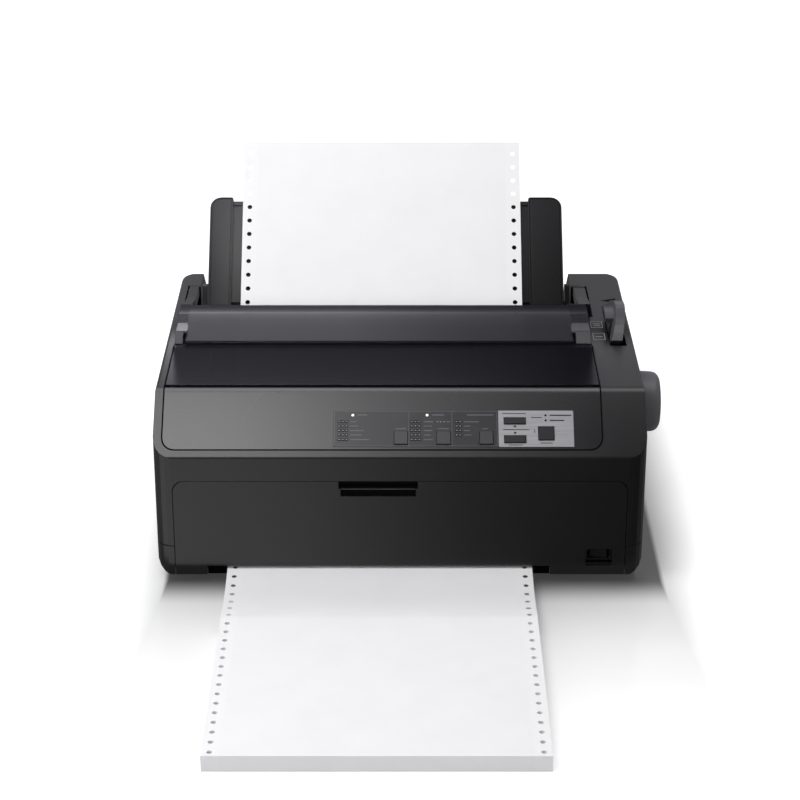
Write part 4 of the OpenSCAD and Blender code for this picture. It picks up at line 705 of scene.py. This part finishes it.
BAR_COLUMNS = ((-39.0, (4.6, 6.2, 10.4, 9.2, 15.0)), (18.6, (7.4, 6.4, 6.6, 5.2, 7.0)),
               (50.0, (11.6, 5.0, 4.4, 5.8)))
dim_bars = [bar(-33.4, -25.6, 36.6, 0.9), bar(25.2, 34.4, 36.6, 0.9), bar(52.6, 73.2, 36.6, 0.8)]
dim_bars += [bar(x, x + wide, up, 0.7)
             for x, widths in BAR_COLUMNS for up, wide in zip(ROWS, widths)]
dim_bars += [bar(-3.6, 4.6, 24.7, 0.7), bar(29.6, 38.0, 24.7, 0.7),
             bar(64.4, 69.0, 24.7, 0.7), bar(36.2, 39.2, 30.7, 0.7)]
printed("label_bars", dim_bars, dark_top, dim_ink)
silver = [bar(80.0, 98.6, 37.9, 0.5), bar(80.6, 101.0, 23.9, 0.6), bar(84.6, 95.4, 10.7, 0.5),
          bar(117.2, 134.2, 36.3, 0.9), bar(117.2, 128.6, 31.9, 0.9), bar(102.6, 111.0, 34.4, 0.6),
          bar(109.6, 119.0, 12.4, 0.5), bar(105.0, 105.5, 22.6, 3.2),
          dot(114.0, 36.3, 0.9), dot(114.0, 31.9, 0.9),
          [(88.6, 26.1), (91.2, 26.1), (89.9, 28.1)], [(88.6, 21.9), (89.9, 19.9), (91.2, 21.9)]]
printed("silver_label_marks", silver, silver_top, black_ink)
print("marks on the dark label:", len(spots) + len(dim_bars), "on the silver one:", len(silver))

# %% [markdown]
# ## Marks beside the release lever
# An arrow and two sheet symbols are printed on the flat top of the case, beside
# the slot of the paper release lever.

# %% Marks on the case
TOP_Z = 149.0


def level(x, deep, z):
    """A place in the millimetres of the construction model, turned into the shared frame."""
    return (Vector((x, deep, z)) + FRAME_SHIFT) * MM


def printed_on_top(name, outlines, material):
    """Ink in the given outlines on the flat top of the case."""
    shape = bmesh.new()
    for outline in outlines:
        extruded(shape, [level(x, deep, TOP_Z) for x, deep in outline],
                 [level(x, deep, TOP_Z + INK) for x, deep in outline])
    finished_piece(name, shape, material, "case")


def flat_box(x0, x1, deep0, deep1):
    """The outline of a box in the plane of the top."""
    return [(x0, deep0), (x1, deep0), (x1, deep1), (x0, deep1)]


def sheet_symbol(x0, x1, deep0, deep1, line=0.6):
    """The outline of a sheet, as four thin bars."""
    return [flat_box(x0, x1, deep0, deep0 + line),
            flat_box(x0, x1, deep1 - line, deep1),
            flat_box(x0, x0 + line, deep0 + line, deep1 - line),
            flat_box(x1 - line, x1, deep0 + line, deep1 - line)]


printed_on_top("lever_arrow", [[(173.0, 234.0), (186.5, 228.5), (186.5, 239.5)]], black_ink)
symbols = sheet_symbol(160.5, 170.5, 172.0, 186.0) + sheet_symbol(160.5, 170.5, 146.0, 160.0)
symbols += [flat_box(162.5, 168.5, deep, deep + 1) for deep in (176, 180, 152)]
printed_on_top("lever_symbols", symbols, light_ink)
print("marks on the case")

# %% [markdown]
# ## Dark gaps, where shade is painted in
# Between the case, the panel and the cover runs a narrow gap. Light hardly gets
# into it, so the eye sees a black line that is wider than the gap itself, because
# the edges beside it are rounded and turn the light away. That line is painted
# shade: a matt black strip laid along the gap, round the foot of the panel, then
# up both sides, over the ridge and along the window.

# %% Strips of painted shade along the gap
BAY = (-186.0, 158.0)
BORDER_UP, CORNER, ARC_UP, RIDGE_R = 6.4, 10.0, 56.6, 10.0


def foot_of_panel(grow):
    """A line round the foot of the panel, drawn outward by grow."""
    points = [(BAY[0] - grow, CORNER + BORDER_UP)]
    for centre_x, start in ((BAY[0] + CORNER, math.pi), (BAY[1] - CORNER, math.pi * 1.5)):
        for i in range(9):
            angle = start + math.pi / 16 * i
            points.append((centre_x + (CORNER + grow) * math.cos(angle),
                           BORDER_UP + CORNER + (CORNER + grow) * math.sin(angle)))
    return points + [(BAY[1] + grow, CORNER + BORDER_UP)]


# Painted shade round the foot of the panel, then up both sides, over the ridge and along the
# window.
outer, inner = foot_of_panel(0.35), foot_of_panel(-0.85)
strip = bmesh.new()
for i in range(len(outer) - 1):
    corners = [outer[i], outer[i + 1], inner[i + 1], inner[i]]
    extruded(strip, [on_panel(x, up, 0.0) for x, up in corners],
             [on_panel(x, up, INK) for x, up in corners])
bmesh.ops.remove_doubles(strip, verts=strip.verts, dist=1e-7)
path = [(OUT_OF_PANEL, on_panel(0, up, 0)) for up in (BORDER_UP + CORNER, 30, 44, ARC_UP)]
centre = on_panel(0, ARC_UP, -RIDGE_R)
for i in range(1, 9):
    angle = SLOPE * (1 - i / 8)
    out = Vector((0, -math.sin(angle), math.cos(angle)))
    path.append((out, centre + out * RIDGE_R * MM))
for deep in (80, 110, 134):
    path.append((Vector((0, 0, 1)), level(0, deep, TOP_Z)))
for x0, x1 in ((BAY[0] - 0.6, BAY[0] + 0.45), (BAY[1] - 0.45, BAY[1] + 0.6)):
    shift0, shift1 = Vector((x0 * MM, 0, 0)), Vector((x1 * MM, 0, 0))
    for (out_a, a), (out_b, b) in zip(path, path[1:]):
        low = [a + shift0, a + shift1, b + shift1, b + shift0]
        lift = [out_a * INK * MM, out_a * INK * MM, out_b * INK * MM, out_b * INK * MM]
        extruded(strip, low, [point + up for point, up in zip(low, lift)])
finished_piece("painted_gap_shade", strip, painted_shade_black, "case")
print("gap strip along", len(path), "steps")

# %% [markdown]
# The grip of the front cover and the two ends of the paper slot are dark for the
# same reason, and get sheets of painted shade in the same matt black. The painted
# shade in the grip and a painted highlight on its lip, a strip of lighter grey
# plastic, swing with the cover.

# %% Grip and slot ends
# Painted shade: a black sheet in the grip of the front cover.
grip = bmesh.new()
outline = rounded_box(-46.4, 12.4, 76.3, 82.6, 1.2)
extruded(grip, [level(x, 1.4, z) for x, z in outline], [level(x, 1.25, z) for x, z in outline])
finished_piece("painted_grip_shade", grip, painted_shade_black, "front_cover")
# Painted highlight: a thin strip of lighter grey plastic on the lip of the grip.
grip_edge = bmesh.new()
outline = rounded_box(-46.0, 12.0, 81.9, 82.5, 0.25)
extruded(grip_edge, [level(x, 1.25, z) for x, z in outline],
         [level(x, 1.1, z) for x, z in outline])
finished_piece("painted_grip_lip_highlight", grip_edge, lever_abs, "front_cover")
# Painted shade: black sheets at the two ends of the paper slot.
ends = bmesh.new()
for x0, x1 in ((-152.8, -138.0), (106.0, 118.8)):
    outline = rounded_box(x0, x1, 6.4, 13.7, 0.6)
    extruded(ends, [level(x, 5.0, z) for x, z in outline], [level(x, 3.4, z) for x, z in outline])
finished_piece("painted_slot_end_shade", ends, painted_shade_black, "case")
print("grip and slot ends")

# %% [markdown]
# ## Sockets at the back
# The construction model has plain blocks where the sockets of the main board come
# out of the case. They get pressed metal shells, a dark insert and contacts.

# %% Sockets
BACK = 345.0


def on_back(name, outlines, deep, thick, material):
    """Flat parts on the back, given by outlines in x and z, from deep towards the back."""
    shape = bmesh.new()
    for outline in outlines:
        extruded(shape, [level(x, deep, z) for x, z in outline],
                 [level(x, deep + thick, z) for x, z in outline])
    finished_piece(name, shape, material, "case")


pins = [bar(x, x + 0.9, z, 1.3) for x in [-140.0 + 2.24 * i for i in range(17)]
        for z in (22.2, 25.4)]
plug = [(-68, 19.2), (-60, 19.2), (-60, 25.6), (-61.8, 27.6), (-66.2, 27.6), (-68, 25.6)]
for name, outlines, deep, thick, material in (
        ("wide_socket_shell", [rounded_box(-149.6, -93.4, 18.0, 29.6, 1.2)], 0.5, 0.15, zinc_plate),
        ("wide_socket_insert", [rounded_box(-142.0, -101.0, 20.2, 27.4, 2.6)], 0.35, 0.1,
         socket_black),
        ("wide_socket_contacts", pins, 0.25, 0.1, contact_brass),
        ("square_socket_shell", [rounded_box(-69.8, -58.2, 18.0, 28.8, 0.8)], 0.5, 0.15,
         zinc_plate),
        ("square_socket_insert", [plug], 0.35, 0.1, socket_black),
        ("square_socket_tongue", [rounded_box(-66.6, -61.4, 21.8, 25.0, 0.5)], 0.25, 0.1,
         white_acetal)):
    on_back(name, outlines, BACK - deep, thick, material)
print("two sockets with", len(pins), "contacts")

# %% [markdown]
# The mains inlet gets its three blades, each with a narrowed tip.

# %% Blades of the inlet
BLADE_WIDE, BLADE_TALL = 2.0, 4.2
ROOT, SHOULDER, TIP = BACK - 15, BACK - 3.5, BACK - 2.0
blades = bmesh.new()
for x, z in ((123.0, 46.4), (137.0, 46.4), (130.0, 51.4)):
    outline = rounded_box(x - BLADE_WIDE / 2, x + BLADE_WIDE / 2,
                          z - BLADE_TALL / 2, z + BLADE_TALL / 2, 0.4, 2)
    tip = [(x + (px - x) * 0.6, z + (pz - z) * 0.75) for px, pz in outline]
    extruded(blades, [level(px, ROOT, pz) for px, pz in outline],
             [level(px, SHOULDER, pz) for px, pz in outline])
    extruded(blades, [level(px, SHOULDER, pz) for px, pz in outline],
             [level(px, TIP, pz) for px, pz in tip])
finished_piece("inlet_blades", blades, contact_brass, "case")
print("three blades in the inlet")
